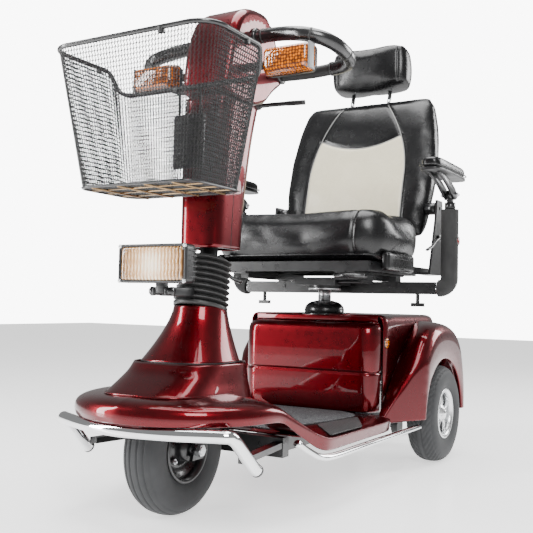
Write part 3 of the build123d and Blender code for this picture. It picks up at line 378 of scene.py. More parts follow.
def tube(points, radius, material, closed=False, sides=20, flatten=1.0, name="part"):
    """A round tube along points, in millimetres. radius may be a list, one for each point."""
    pts = [np.array(p, float) for p in points]
    radii = radius if hasattr(radius, "__len__") else [radius] * len(pts)
    loops = []
    up = None
    for i, p in enumerate(pts):
        before = pts[i - 1] if (i or closed) else pts[i]
        after = pts[(i + 1) % len(pts)] if (i < len(pts) - 1 or closed) else pts[i]
        along = (after - before) / np.linalg.norm(after - before)
        if up is None:
            up = np.cross(along, [0.3, 0.5, 0.9]) if abs(along[2]) > 0.9 else np.cross(along, [0, 0, 1])
        up = up - along * np.dot(up, along)
        up = up / np.linalg.norm(up)
        side = np.cross(along, up)
        loops.append([p + radii[i] * (cos(2 * pi * n / sides) * up
                                      + flatten * sin(2 * pi * n / sides) * side) for n in range(sides)])
    if closed:
        loops.append(loops[0])
        return loft(loops, material, name=name)
    return solid(loops, material, name=name)


def lathe(profile, origin, axis, material, segments=64, closed=False, name="part"):
    """Turns (along, radius) points about an axis from origin."""
    axis = np.array(axis, float) / np.linalg.norm(axis)
    first = np.cross(axis, [0, 0, 1] if abs(axis[2]) < 0.9 else [1, 0, 0])
    first = first / np.linalg.norm(first)
    second = np.cross(axis, first)
    origin = np.array(origin, float)
    loops = []
    for n in range(segments):
        t = 2 * pi * n / segments
        out = cos(t) * first + sin(t) * second
        loops.append([origin + a * axis + r * out for a, r in profile])
    loops.append(loops[0])
    obj = loft(loops, material, closed=closed, name=name)
    weld(obj)
    return obj


def block(low, high, material, bevel=2.0, segments=3, name="part"):
    """A bevelled block between two corners."""
    points = [(x, y, z) for x in (low[0], high[0]) for y in (low[1], high[1]) for z in (low[2], high[2])]
    faces = [(0, 1, 3, 2), (4, 6, 7, 5), (0, 4, 5, 1), (2, 3, 7, 6), (0, 2, 6, 4), (1, 5, 7, 3)]
    obj = mesh(name, points, faces, material)
    rounded(obj, bevel, segments)
    return obj


def weld(obj, distance=0.00001):
    bm = bmesh.new()
    bm.from_mesh(obj.data)
    bmesh.ops.remove_doubles(bm, verts=bm.verts, dist=distance)
    bmesh.ops.recalc_face_normals(bm, faces=bm.faces)
    bm.to_mesh(obj.data)
    bm.free()
    return obj


def add_modifier(obj, kind, **settings):
    modifier = obj.modifiers.new(kind.lower(), kind)
    for key, value in settings.items():
        setattr(modifier, key, value)
    return modifier


def rounded(obj, width, segments=3, angle=35):
    add_modifier(obj, "BEVEL", width=width / 1000, segments=segments, limit_method="ANGLE",
                 angle_limit=radians(angle), harden_normals=False)
    return obj


def thick(obj, amount, offset=-1.0):
    add_modifier(obj, "SOLIDIFY", thickness=amount / 1000, offset=offset)
    return obj


def apply_modifiers(obj):
    bpy.context.view_layer.update()
    evaluated = obj.evaluated_get(bpy.context.evaluated_depsgraph_get())
    data = bpy.data.meshes.new_from_object(evaluated)
    obj.modifiers.clear()
    obj.data = data
    return obj


def join(name, objects):
    """Joins finished pieces into one object."""
    for obj in objects:
        if obj.modifiers:
            apply_modifiers(obj)
    slots = []
    bm = bmesh.new()
    for obj in objects:
        index = []
        for m in obj.data.materials:
            if m not in slots:
                slots.append(m)
            index.append(slots.index(m))
        start = len(bm.faces)
        bm.from_mesh(obj.data)
        bm.faces.ensure_lookup_table()
        for face in bm.faces[start:]:
            face.material_index = index[face.material_index] if index else 0
    data = bpy.data.meshes.new(name)
    bm.to_mesh(data)
    bm.free()
    for m in slots:
        data.materials.append(m)
    result = bpy.data.objects.new(name, data)
    bpy.context.scene.collection.objects.link(result)
    for obj in objects:
        bpy.data.objects.remove(obj)
    return result


def place(obj, body, slot, *nodes):
    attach(obj, body)
    if nodes:
        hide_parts(*nodes)
    return obj


# ------------------------------- painted shells -------------------------------
def nose_and_pan():
    """The rounded nose and the sloping shoulders, as one skin swept round the edge of the floor."""
    stations = []
    for y, inner, outer, top, edge, bottom in (
        (128, 150, 190, 149.6, 147, 122), (116, 190, 257, 149.6, 145, 121), (0, 190, 252, 149.6, 144, 121),
        (-120, 180, 251, 149.6, 144, 121), (-190, 150, 250.5, 149.8, 144, 121), (-236, 130, 250, 151, 144,
        120),
        (-258, 122, 246, 157, 150, 124), (-280, 116, 241, 168, 157, 131), (-312, 113, 235.5, 188, 170, 150),
        (-345, 112, 230, 208, 183, 168), (-372, 110, 226, 225, 195, 186), (-392, 109, 223, 237, 203, 194),
    ):
        stations.append(((inner, y), (outer, y), top, edge, bottom))
    for degrees in range(8, 91, 8):
        t = radians(degrees)
        inner = (108 * cos(t), -400 - 150 * sin(t))
        outer = (222 * cos(t) ** 0.92, -398 - 214 * sin(t) ** 1.02)
        stations.append((inner, outer, 242.5, 207, 196))
    stations.append(((0, -550), (0, -612), 243, 209, 196))
    rows = []
    for inner, outer, top, edge, bottom in stations:
        row = []
        for n in range(13):
            t = pi / 2 * n / 12
            across = sin(t) ** 0.9
            rise = cos(t) ** 0.62 if n < 12 else 0
            row.append((inner[0] + (outer[0] - inner[0]) * across,
                inner[1] + (outer[1] - inner[1]) * across,
                        edge + (top - edge) * rise))
        for n in range(1, 5):
            t = n / 4
            pull = 1 - 0.012 * t
            row.append((outer[0] * pull, outer[1] if outer[1] > -380 else outer[1] * (1 - 0.006 * t),
                        edge + (bottom - edge) * t))
        rows.append(row)
    rows += [[(-x, y, z) for x, y, z in row] for row in reversed(rows[:-1])]
    skin = loft(rows, RED, closed=False)
    thick(skin, 3.5, -1)
    add_modifier(skin, "SUBSURF", levels=2, render_levels=2)
    deck = block((-215, -262, 145.5), (215, 132, 149.4), RED, 1.5)
    return join("floor_pan_look", [skin, deck])


def lower_cowl():
    """The cowl over the front wheel, flaring to a crease above the nose."""
    count = 112
    rows = 15
    keys = (148, 200, 240, 262, 280, 299)
    shape = smooth_values(keys, [
        (131, -640, -254), (119, -596, -262), (113, -569, -270), (107.5, -533, -277), (104.5, -503, -282),
        (101, -484, -287),
    ], np.linspace(148, 299, 60))
    heights = np.linspace(148, 299, 60)
    loops = []
    for row in range(rows):
        loop = []
        for n in range(count):
            t = 2 * pi * n / count
            c, s = cos(t), sin(t)
            probe = [np.interp(240, heights, shape[:, i]) for i in range(3)]
            y_guess = (probe[1] + probe[2]) / 2 + (probe[2] - probe[1]) / 2 * signed_power(s, 2 / 3.2)
            low = float(np.interp(y_guess, (-560, -400, -345, -280, -262), (241.5, 239.5, 207, 167, 152)))
            z = low + (299 - low) * (row / (rows - 1))
            w, front, back = [np.interp(z, heights, shape[:, i]) for i in range(3)]
            x = w * signed_power(c, 2 / 3.2)
            y = (front + back) / 2 + (back - front) / 2 * signed_power(s, 2 / 3.2)
            loop.append((x, y, z))
        loops.append(loop)
    skin = loft(loops, RED)
    lip = tube([(x, y, z + 1.5) for x, y, z in loops[0]], 2.4, RED, closed=True, sides=10)
    thick(skin, 3, -1)
    return join("lower_cowl_look", [skin, lip])


def upper_cowl():
    """The cone that rises from the cowl to the bellows."""
    loops = []
    for n in range(30):
        u = n / 29
        z = 299.5 + (411 - 299.5) * u
        flare = (1 - u) ** 1.45
        half = 55 + (95 - 55) * flare
        front = -410 - (478 - 410) * flare
        back = -300 + 8 * (1 - u)
        power = 2 + 0.5 * (1 - u)
        loops.append(oval(0, (front + back) / 2, z, half, (back - front) / 2, power, 96))
    rim = [(x * 0.93, -355 + (y + 355) * 0.93, 411) for x, y, z in loops[-1]]
    skin = loft(loops + [rim], RED)
    thick(skin, 3, -1)
    seam = tube([(x * 1.002, y, z) for x, y, z in loops[0]], 1.2, BLACK_PLASTIC, closed=True, sides=8)
    return join("upper_cowl_look", [skin, seam])


def bellows():
    """Rubber bellows round the tiller's hinge."""
    folds = 8
    profile = []
    for n in range(folds * 14 + 1):
        u = n / (folds * 14)
        wave = 0.5 - 0.5 * cos(2 * pi * folds * u)
        crest = 59 - 8 * u
        profile.append((2 + 99 * u, crest - 12 + 12 * wave**0.7))
    profile = [(-9, 50), (-7, 56), (0, 57)] + profile + [(102, 40)]
    return lathe(profile, STEER_AT, STEER_UP, RUBBER, 72, name="bellows")


def tiller_casing():
    """The casing of the steering column, flat-fronted with round edges."""
    sections = smooth_values((531, 600, 700, 800, 850), [
        (50, -376, -268), (50.5, -376, -262), (52, -375, -247), (54.5, -369.5, -227), (56, -365, -212.5),
    ], np.linspace(531, 849.5, 40))
    loops = []
    for z, (half, front, back) in zip(np.linspace(531, 849.5, 40), sections):
        loops.append(oval(0, (front + back) / 2, z, half, (back - front) / 2, 5.0, 96))
    foot = [(x * 0.9, -323 + (y + 323) * 0.92, 530.5) for x, y, z in loops[0]]
    skin = loft([foot] + loops, RED)
    thick(skin, 3, -1)
    seams = []
    for side in (-1, 1):
        line = []
        for loop in loops:
            line.append(min(
                loop, key=lambda p: abs(p[1] - (loop[0][1] - 2)) + (0 if p[0] * side > 0 else 999)))
        seams.append(tube([(p[0] - side * 0.2, p[1], p[2]) for p in line], 0.9, BLACK_PLASTIC, sides=6))
    return join("tiller_cover_look", [skin] + seams)


HEAD_OUTLINE = [
    (-365, 850), (-364.5, 870), (-363, 893), (-357, 930), (-349, 960), (-340, 988), (-328, 1018), (-312,
    1039),
    (-288, 1055), (-268, 1061), (-246, 1065), (-222, 1067), (-204, 1066.5), (-193, 1060), (-172, 1028),
    (-150, 986),
    (-130, 949), (-122, 935), (-126, 926), (-145, 912), (-165, 898), (-188, 875), (-212, 850),
]


def head_width(z):
    return float(np.interp(z, (850, 915, 950, 1005, 1040, 1068), (56, 60, 62, 62, 60, 57)))


def tiller_head():
    """The head of the tiller: one rounded body from the casing up to the dash."""
    middle = np.array([-235.0, 960.0])
    loops = []
    stations = [sin(pi / 2 * n / 16) for n in range(-16, 17)]
    for u in stations:
        edge = max(0.0, (abs(u) - 0.72) / 0.28)
        inset = 15 * (1 - sqrt(max(0.0, 1 - edge**2)))
        loop = []
        for y, z in HEAD_OUTLINE:
            p = np.array([y, z])
            to_middle = middle - p
            distance = np.linalg.norm(to_middle)
            if z > 852:
                p = p + to_middle / distance * inset
            else:
                p = p + np.array([np.sign(to_middle[0]), 0]) * inset
            loop.append((u * head_width(p[1]), p[0], p[1]))
        loops.append(loop)
    skin = solid(loops, RED)
    add_modifier(skin, "SUBSURF", levels=1, render_levels=2)
    caps = []
    for side in (-1, 1):
        at = (side * 60.5, -256, 998)
        caps.append(lathe([(0, 20), (4, 20), (6, 18.5), (7, 16.5), (7, 10)], at, (side, 0, 0),
            SATIN_PLASTIC, 48))
        caps.append(lathe([(0, 19), (3, 19), (4.5, 17.5), (4.5, 10)], (side * 60.5, -142, 942), (side, 0,
            0), SATIN_PLASTIC, 48))
    return join("tiller_head_look", [skin] + caps)


def battery_cover():
    """The upright box behind the rider's heels, with rounded corners and a ridge."""
    def section(z, grow, front):
        loop = []
        half = 190.5 + grow
        for n in range(-40, 41):
            t = n / 40
            x = t * half
            edge = max(0.0, (abs(x) - (half - 38)) / 38)
            y = front + 38 * (1 - sqrt(max(0.0, 1 - edge**2)))
            loop.append((x, y, z))
        loop = [(-half, 169.8, z)] + loop + [(half, 169.8, z)]
        return loop

    loops = []
    for z, grow, front in (
        (152, -3, 123.5), (156, -0.8, 121.3), (200, 0, 120.5), (243, 0, 120.5), (246.5, 0, 120.6), (248.5,
        -3, 123.6),
        (251, -3, 123.6), (253, 0, 120.8), (256, 0.3, 120.4), (300, 0.2, 120.5), (344, 0, 121), (358, -0.6,
        123),
        (366, -2.5, 127), (371, -6, 133), (374, -13, 141), (375, -24, 153),
    ):
        loops.append(section(z, grow, front))
    skin = loft(loops, RED, closed=False)
    thick(skin, 3, 1)
    return join("battery_cover_look", [skin])


ARCH = 148


def fender_side(side):
    """One rear fender, swept along the arch from the floor to the tail."""
    keys = [(120, 128), (154, 172), (192, 218), (224, 257), (252, 292), (278, 322), (306, 346), (344, 366),
        (388, 375),
            (430, 376.5), (478, 371), (520, 358), (552, 334), (574, 300), (586, 250), (592, 200), (590,
            160), (589, 128)]
    inner_keys = [(130, 128), (165, 172), (206, 216), (250, 257), (282, 286), (318, 315), (352, 342), (385,
        366), (412, 377),
                  (432, 378.5), (478, 373), (520, 359), (552, 336), (574, 300), (586, 252), (592, 202),
                  (590, 162), (589, 130)]
    top = path_points([(0, y, z) for y, z in keys], 5)
    inner_top = path_points([(0, y, z) for y, z in inner_keys], 5)
    rows = []
    for n, p in enumerate(top):
        angle = atan2(p[2] - WHEEL_Z, p[1] - REAR_AXLE_Y)
        reach = hypot(p[1] - REAR_AXLE_Y, p[2] - WHEEL_Z)
        arch = np.array([REAR_AXLE_Y + ARCH * cos(angle), WHEEL_Z + ARCH * sin(angle)])
        if reach < ARCH + 4:
            arch = np.array([REAR_AXLE_Y + (reach - 4) * cos(angle), WHEEL_Z + (reach - 4) * sin(angle)])
        outer = np.array([p[1], p[2]])
        row = []
        for t in (0.0, 0.04, 0.1, 0.25, 0.45, 0.62, 0.75, 0.84, 0.91, 0.96, 1.0):
            yz = arch + (outer - arch) * t
            drop = max(0.0, (t - 0.62) / 0.38)
            x = 280.5 - 46 * (1 - sqrt(max(0.0, 1 - drop**2.2))) if drop else 280.5 - 3.5 * (1 - min(1,
                t / 0.3))
            x = min(x, 203 + max(0.0, yz[0] - 112) * 0.49)
            row.append((side * x, yz[0], yz[1]))
        first = row[0]
        edge = abs(first[0])
        row = [(side * (edge - 14), first[1], first[2]), (side * (edge - 4), first[1], first[2])] + row
        inner = inner_top[n]
        last = abs(row[-1][0])
        row += [(side * (last * 0.6 + 194 * 0.4), *(0.6 * outer + 0.4 * inner[1:])), (side * 194, inner[1],
            inner[2])]
        rows.append(row)
    skin = loft(rows, RED, closed=False)
    thick(skin, 3, -1 if side > 0 else 1)
    add_modifier(skin, "SUBSURF", levels=1, render_levels=2)
    return skin


def rear_shroud():
    """The deck over the batteries and motor, with both fenders."""
    loops = []
    for z, grow in ((192, 0), (250, 0), (320, 0), (366, 0), (378, -1), (385, -4), (389.5, -9), (391.6, -16),
            (392, -30), (392, -80), (392, -150)):
        half = 192.5 + grow
        back = 585 + grow
        loop = []
        for n in range(41):
            t = n / 40
            edge = 46
            if t < 0.3:
                loop.append((half, 170.6 + (back - edge - 170.6) * t / 0.3, z))
            elif t < 0.42:
                a = (t - 0.3) / 0.12 * pi / 2
                loop.append((half - edge + edge * cos(a), back - edge + edge * sin(a), z))
            elif t < 0.58:
                u = (t - 0.42) / 0.16
                loop.append(((half - edge) * (1 - 2 * u), back, z))
            elif t < 0.7:
                a = (t - 0.58) / 0.12 * pi / 2
                loop.append((-half + edge - edge * sin(a), back - edge + edge * cos(a), z))
            else:
                loop.append((-half, back - edge - (back - edge - 170.6) * (t - 0.7) / 0.3, z))
        loops.append(loop)
    deck = loft(loops, RED, closed=False)
    thick(deck, 3, 1)
    lid = mesh("deck_lid", [(x, y, 391.7) for x, y in ((-150, 170.6), (150, 170.6), (150, 440), (-150,
        440))], [(0, 1, 2, 3)], RED)
    thick(lid, 3, -1)
    front_lip = block((-178, 170.8, 376.5), (178, 175, 391.5), RED, 1.6)
    strips = []
    for side in (-1, 1):
        strip = block((side * 192.5 - 1.5, 171, 152), (side * 192.5 + 1.5, 300, 200), RED, 1)
        strips.append(strip)
    return join("rear_shroud_look", [deck, lid, front_lip, fender_side(1), fender_side(-1)] + strips)


place(nose_and_pan(), "chassis", "body_red", "floor_pan")
place(lower_cowl(), "chassis", "body_red", "lower_cowl")
place(upper_cowl(), "chassis", "body_red", "upper_cowl")
place(battery_cover(), "chassis", "body_red", "battery_cover")
place(rear_shroud(), "chassis", "body_red", "rear_shroud")
place(bellows(), "steering", "rubber_black", "tiller_boot")
place(tiller_casing(), "tiller", "body_red", "tiller_cover")
place(tiller_head(), "tiller", "body_red", "tiller_head")


# ------------------------------- wheels -------------------------------
def tyre(name, x, y, width, lugs):
    """A grey tyre with either running ribs or block lugs."""
    half = width / 2
    profile = [
        (-half + 9, 65.8), (-half + 6, 70), (-half + 2.2, 78), (-half + 0.6, 88), (-half, 98), (-half + 1.6,
        108),
        (-half + 5, 116), (-half + 7, 117.2), (-half + 9, 119.4),
    ]
    grooves = (-0.52, -0.2, 0.2, 0.52)
    tread = []
    steps = 60
    for n in range(steps + 1):
        a = -half + 10 + (width - 20) * n / steps
        crown = 129.9 - 9.5 * abs(a / (half - 8)) ** 2.6
        depth = 0.0
        if not lugs:
            for g in grooves:
                depth = max(depth, 2.6 * exp(-((a - g * half) / 1.5) ** 2))
        tread.append((a, crown - depth))
    profile += tread + [(-a, r) for a, r in reversed(profile)]
    if not lugs:
        return lathe(profile, (x, y, 130), (1, 0, 0), TYRE, 120, name=name)
    segments = 176
    loops = []
    for n in range(segments + 1):
        t = 2 * pi * (n % segments) / segments
        loop = []
        for a, r in profile:
            if abs(a) < half - 6 and r > 112:
                phase = (n + 3.5 * abs(a) / half * 4) % 4
                cut = 1.0 if phase < 1.25 and abs(a) > 6 else 0.0
                cut = max(cut, 1.0 if abs(abs(a) - 6) < 1.1 or abs(abs(a) - 20) < 1.0 else 0.0)
                r = r - 2.4 * cut
            loop.append((x + a, y + r * cos(t), WHEEL_Z + r * sin(t)))
        loops.append(loop)
    return weld(loft(loops, TYRE, closed=False, name=name))


def rim_barrel(name, x, y, half, material, deep):
    profile = [(-half, 66), (-half + 1.5, 67.5), (-half + 3, 66), (-half + 5, 60), (-half + 8, 58),
        (half - 8, 58), (half - 5, 60),
               (half - 3, 66), (half - 1.5, 67.5), (half, 66), (half, 62.5), (half - 4, 56), (half - 10,
               deep), (-half + 10, deep),
               (-half + 4, 56), (-half, 62.5)]
    return lathe(profile, (x, y, 130), (1, 0, 0), material, 96, closed=True, name=name)


def bolt(at, axis, across, height, material, name="nut"):
    """A hexagon nut with a chamfered crown and a stud."""
    axis = np.array(axis, float)
    nut = lathe([(0, 0.01), (0, across / 2), (height * 0.8, across / 2), (height, across * 0.42), (height,
        0.01)],
                at, axis, material, 6, name=name)
    for polygon in nut.data.polygons:
        polygon.use_smooth = False
    stud = lathe([(0, across * 0.24), (height * 1.45, across * 0.24), (height * 1.6, across * 0.18),
        (height * 1.6, 0.01)],
                 at, axis, material, 20, name=name + "_stud")
    return join(name, [nut, stud])


def front_wheel():
    pieces = [rim_barrel("front_barrel", 0, -430, 34, POWDER, 55)]
    for side in (-1, 1):
        pieces.append(lathe([(20, 56), (16, 48), (10, 40), (12, 26), (26, 24), (39, 22), (41, 12), (41, 9)],
                            (0, FRONT_AXLE_Y, WHEEL_Z), (side, 0, 0), POWDER, 72))
        for n in range(4):
            t = pi / 4 + n * pi / 2
            pieces.append(bolt((side * 12, FRONT_AXLE_Y + 33 * cos(t), WHEEL_Z + 33 * sin(t)), (side, 0, 0),
                13, 7,
                STEEL))
    return join("front_rim_look", pieces)


def rear_wheel(side):
    """A five-spoke alloy rim in a lugged tyre, on the given side."""
    x = side * REAR_WHEEL_X
    pieces = [rim_barrel("rear_barrel", x, 414, 34, ALLOY, 55)]
    hub = lathe([(-6, 24), (20, 24), (24, 21), (27, 16), (31, 15), (32, 12), (32, 0.01)], (x, REAR_AXLE_Y,
        WHEEL_Z),
        (side, 0, 0), ALLOY, 48)
    disc = lathe([(2, 56), (2, 10), (-3, 10), (-3, 56)], (x, REAR_AXLE_Y, WHEEL_Z), (side, 0, 0),
        BLACK_PLASTIC, 64)
    pieces += [hub, disc]
    for n in range(5):
        t = 2 * pi * n / 5 + pi / 2
        out = np.array([0, cos(t), sin(t)])
        tangent = np.array([0, -sin(t), cos(t)])
        loops = []
        for reach, width, height, deep in ((18, 13, 24, 8), (30, 10, 25, 12), (42, 10, 24, 12), (52, 14, 21,
                10), (57, 21, 18, 7)):
            centre = np.array([x, REAR_AXLE_Y, WHEEL_Z]) + out * reach
            loop = []
            for u, w in ((-1, -1), (-1, 0.45), (-0.55, 1), (0.55, 1), (1, 0.45), (1, -1)):
                loop.append(centre + tangent * u * width / 2 + np.array([side, 0,
                    0]) * (height - deep / 2 + w * deep / 2))
            loops.append(loop)
        spoke = solid(loops, ALLOY)
        add_modifier(spoke, "SUBSURF", levels=2, render_levels=2)
        pieces.append(spoke)
        pieces.append(bolt(np.array([x + side * 24, REAR_AXLE_Y, WHEEL_Z]) + 14 * np.array([0,
            cos(t + 0.628),
            sin(t + 0.628)]),
                           (side, 0, 0), 7, 4, STEEL))
    pieces.append(lathe([(30, 10), (33, 9), (34.5, 6), (35, 0.01)], (x, REAR_AXLE_Y, WHEEL_Z), (side, 0, 0),
        CHROME,
        32))
    return join(f"rear_rim_look_{side}", pieces)


place(tyre("front_tyre_look", 0, -430, 78, False), "front_wheel", "tyre_grey", "front_tyre")
place(front_wheel(), "front_wheel", "frame_black", "front_rim")
for side, word in ((1, "left"), (-1, "right")):
    place(tyre(f"rear_tyre_look_{word}", side * REAR_WHEEL_X, 414, 80, True), f"rear_wheel_{word}",
        "tyre_grey",
        f"rear_tyre_{word}")
    place(rear_wheel(side), f"rear_wheel_{word}", "silver_rim", f"rear_rim_{word}")


# ------------------------------- basket -------------------------------
def basket_point(s, h, top=None):
    """A point on the basket's wall: s runs round it from 0 to 1, h from its floor (0) to its rim (1)."""
    low = (136, -588, -415, 33)
    high = (189.5, -617, -415, 47)
    half, front, back, corner = [a + (b - a) * h for a, b in zip(low, high)]
    straight_x = 2 * (half - corner)
    straight_y = (back - front) - 2 * corner
    arc = pi / 2 * corner
    length = 2 * straight_x + 2 * straight_y + 4 * arc
    d = (s % 1) * length
    runs = (
        (straight_x, lambda d: (half - corner - d, back)),
        (arc, lambda d: (-half + corner - corner * sin(d / corner),
        back - corner + corner * cos(d / corner))),
        (straight_y, lambda d: (-half, back - corner - d)),
        (arc, lambda d: (-half + corner - corner * cos(d / corner),
        front + corner - corner * sin(d / corner))),
        (straight_x, lambda d: (-half + corner + d, front)),
        (arc, lambda d: (half - corner + corner * sin(d / corner),
        front + corner - corner * cos(d / corner))),
        (straight_y, lambda d: (half, front + corner + d)),
        (arc, lambda d: (half - corner + corner * cos(d / corner),
        back - corner + corner * sin(d / corner))),
    )
    x = y = 0
    for run, where in runs:
        if d <= run:
            x, y = where(d)
            break
        d -= run
    rim = 905 - 50 / (1 + exp(-(y + 434) / 5))
    return (x, y, 634 + (rim - 634) * h)


def mesh_sheet(name, grid, columns, closed):
    """Expanded metal: diamonds between staggered points, left as thin wires."""
    points = []
    index = {}
    for r, row in enumerate(grid):
        for c, p in enumerate(row):
            index[(r, c)] = len(points)
            points.append(p)
    faces = []
    for r in range(1, len(grid) - 1):
        for c in range(columns):
            left = c
            right = c + 1
            up = down = c if r % 2 == 0 else c + 1
            if closed:
                right %= columns
                up %= columns
                down %= columns
            elif right >= columns or up >= columns:
                continue
            faces.append((index[(r - 1, down)], index[(r, right)], index[(r + 1, up)], index[(r, left)]))
    sheet = mesh(name, points, faces, POWDER)
    add_modifier(sheet, "WIREFRAME", thickness=0.0023, use_even_offset=False, use_boundary=True)
    return sheet


def basket():
    columns = 148
    rows = 63
    grid = []
    for r in range(rows):
        shift = 0.5 / columns if r % 2 == 0 else 0.0
        grid.append([basket_point(c / columns + shift, r / (rows - 1)) for c in range(columns)])
    wall = mesh_sheet("basket_wall", grid, columns, True)
    floor_rows = []
    for r in range(31):
        y = -583 + 164 * r / 30
        shift = 0.5 if r % 2 == 0 else 0.0
        floor_rows.append([(-132 + 264 * (c + shift) / 33.5, y, 635) for c in range(34)])
    floor = mesh_sheet("basket_floor", floor_rows, 34, False)
    pieces = [wall, floor]
    ring_at = [basket_point(n / 200, 1) for n in range(200)]
    pieces.append(tube(ring_at, 4.6, SATIN_PLASTIC, closed=True, sides=14))
    pieces.append(tube([basket_point(n / 160, 0.0) for n in range(160)], 2.6, POWDER, closed=True,
        sides=10))
    for x in (-95, -32, 32, 95):
        pieces.append(tube([(x, -588, 634), (x, -586, 631.5), (x, -418, 631.5), (x, -416, 634)], 2, BRONZE,
            sides=8))
    for y in (-545, -500, -455):
        pieces.append(tube([(-135, y, 633.5), (135, y, 633.5)], 1.8, BRONZE, sides=8))
    for s in (0.16, 0.345, 0.71, 0.9):
        p = np.array(basket_point(s, 0.985))
        pieces.append(block(p - np.array([5, 5, 7]), p + np.array([5, 5, 6.5]), BLACK_PLASTIC, 1.5))
    hooks = []
    for x in (-26, 26):
        hooks.append(tube([(x, -414, 853), (x, -410, 846), (x, -409, 800), (x, -411, 700)], 3, POWDER,
            sides=10))
    return join("basket_look", pieces + hooks)


place(basket(), "basket", "frame_black", "basket")


# ------------------------------- tiller fittings -------------------------------
def handle(side):
    route = path_points([(62, -255.5, 998), (90, -257, 998), (120, -261, 995), (160, -272, 987), (196, -277,
        978), (226, -261, 970),
                         (243, -232, 962), (246, -200, 956), (243, -170, 951), (231, -147, 947), (206, -137,
                         945),
                         (150, -132, 943), (100, -136, 942), (63, -142, 942)], 8)
    grip = tube([(side * x, y, z) for x, y, z in route[: 84]], 15.2, SATIN_PLASTIC, sides=28)
    bar = tube([(side * x, y, z) for x, y, z in route], 13.2, RUBBER, sides=24)
    rings = []
    for n in (5, 34, 58, 83):
        p = np.array(route[n])
        q = np.array(route[n + 1])
        along = q - p
        p = p * [side, 1, 1]
        along = along * [side, 1, 1]
        rings.append(lathe([(-2.6, 14), (-2.2, 15.8), (2.2, 15.8), (2.6, 14)], p, along, RUBBER, 32))
    return [grip, bar] + rings


place(join("handlebars_look", handle(1) + handle(-1)), "tiller", "rubber_black", "handlebars")


def turn_signal(side):
    """An amber lens in a black housing at the end of a stub."""
    loops = []
    lens_loops = []
    for y, half, tall in ((-282, 50, 25), (-284, 56, 28), (-296, 58, 29.5), (-297, 58, 29.5)):
        loops.append([(side * 170 + x, y, 921 + z) for x, z in rounded_box(half, tall, 11)])
    for y, half, tall in ((-297, 57.5, 29), (-306, 56, 28), (-318, 53, 25.5), (-325, 49, 22), (-327.5, 44,
            18)):
        lens_loops.append([(side * 170 + x + side * (-297 - y) * 0.05, y, 921 + z) for x,
            z in rounded_box(half, tall, 10)])
    housing = solid(loops, BLACK_PLASTIC)
    glass = solid(lens_loops, AMBER)
    stub = tube([(side * 59, -289, 922), (side * 90, -289, 922), (side * 116, -289, 922)], 9, RUBBER,
        sides=24)
    cap = block((side * 226 - (3 if side > 0 else 1), -322, 894), (side * 226 + (1 if side > 0 else 3),
        -296, 948), GREY_PLASTIC, 1.5)
    return housing, glass, stub, cap


def rounded_box(half, tall, corner, per=8):
    loop = []
    for cx, cz, start in ((half - corner, tall - corner, 0), (-half + corner, tall - corner, 90),
                          (-half + corner, -tall + corner, 180), (half - corner, -tall + corner, 270)):
        for n in range(per + 1):
            t = radians(start + 90 * n / per)
            loop.append((cx + corner * cos(t), cz + corner * sin(t)))
    return loop


left_signal = turn_signal(1)
right_signal = turn_signal(-1)
place(join("turn_signals_look", [left_signal[0], right_signal[0], left_signal[2], right_signal[2],
    left_signal[3], right_signal[3]]),
      "tiller", "plastic_black", "turn_signals")
place(join("turn_signal_lenses_look", [left_signal[1], right_signal[1]]), "tiller", "amber",
    "turn_signal_lenses")


def headlight():
    """A rectangular lamp in a deep black housing with ribs along its sides."""
    loops = []
    for y, half, tall in ((-477, 60, 26), (-479, 70, 32), (-486, 79, 36.5), (-500, 81, 37.4), (-516, 82,
        37.5), (-520, 82, 37.5), (-521.5, 80.5, 36),
                          (-521.5, 77, 33), (-512, 75, 31.5)):
        loops.append([(x, y, 490.5 + z) for x, z in rounded_box(half, tall, 9)])
    shell = loft(loops, BLACK_PLASTIC, caps=(True, False))
    ribs = []
    for n in range(6):
        z = 466 + n * 9.8
        for side in (-1, 1):
            ribs.append(block((side * 81.3 - 1, -514, z - 1.4), (side * 81.3 + 1, -486, z + 1.4),
                BLACK_PLASTIC, 0.8))
    screws = [lathe([(0, 4), (1.6, 4), (2.4, 3), (2.4, 1.2), (1.2, 1.0), (1.2, 0.01)], (x, -520.5, z), (0,
        -1, 0), STEEL, 20)
              for x, z in ((-78, 524), (78, 524), (-78, 457), (78, 457))]
    lug = block((-10.3, -494, 434), (10.3, -478, 456), BLACK_PLASTIC, 2)
    glass_loops = []
    for y, half, tall in ((-513, 75.5, 32), (-519, 75.5, 32), (-521, 74, 30.5), (-522, 70, 27)):
        glass_loops.append([(x, y, 490.5 + z) for x, z in rounded_box(half, tall, 7)])
    glass = loft(glass_loops, CLEAR, caps=(False, True), name="headlight_lens_look")
    return join("headlight_housing_look", [shell, lug] + ribs + screws), glass


lamp, glass = headlight()
place(lamp, "headlight", "plastic_black", "headlight_housing")
place(glass, "headlight", "lamp_lens", "headlight_lens")


def lamp_bracket():
    pieces = [block((-19, -472, 429), (19, -404, 447), BLACK_PLASTIC, 3)]
    pieces.append(block((-10, -406, 432), (10, -369, 444), POWDER, 2))
    for side in (-1, 1):
        pieces.append(block((side * 15 - 4, -495, 430), (side * 15 + 4, -468, 446), BLACK_PLASTIC, 3))
        pieces.append(lathe([(0, 9), (6, 9.5), (8, 8), (8, 0.01)], (side * 19, -485, 438), (side, 0, 0),
            SATIN_PLASTIC, 10))
    return join("headlight_bracket_look", pieces)


place(lamp_bracket(), "steering", "frame_black", "headlight_bracket")


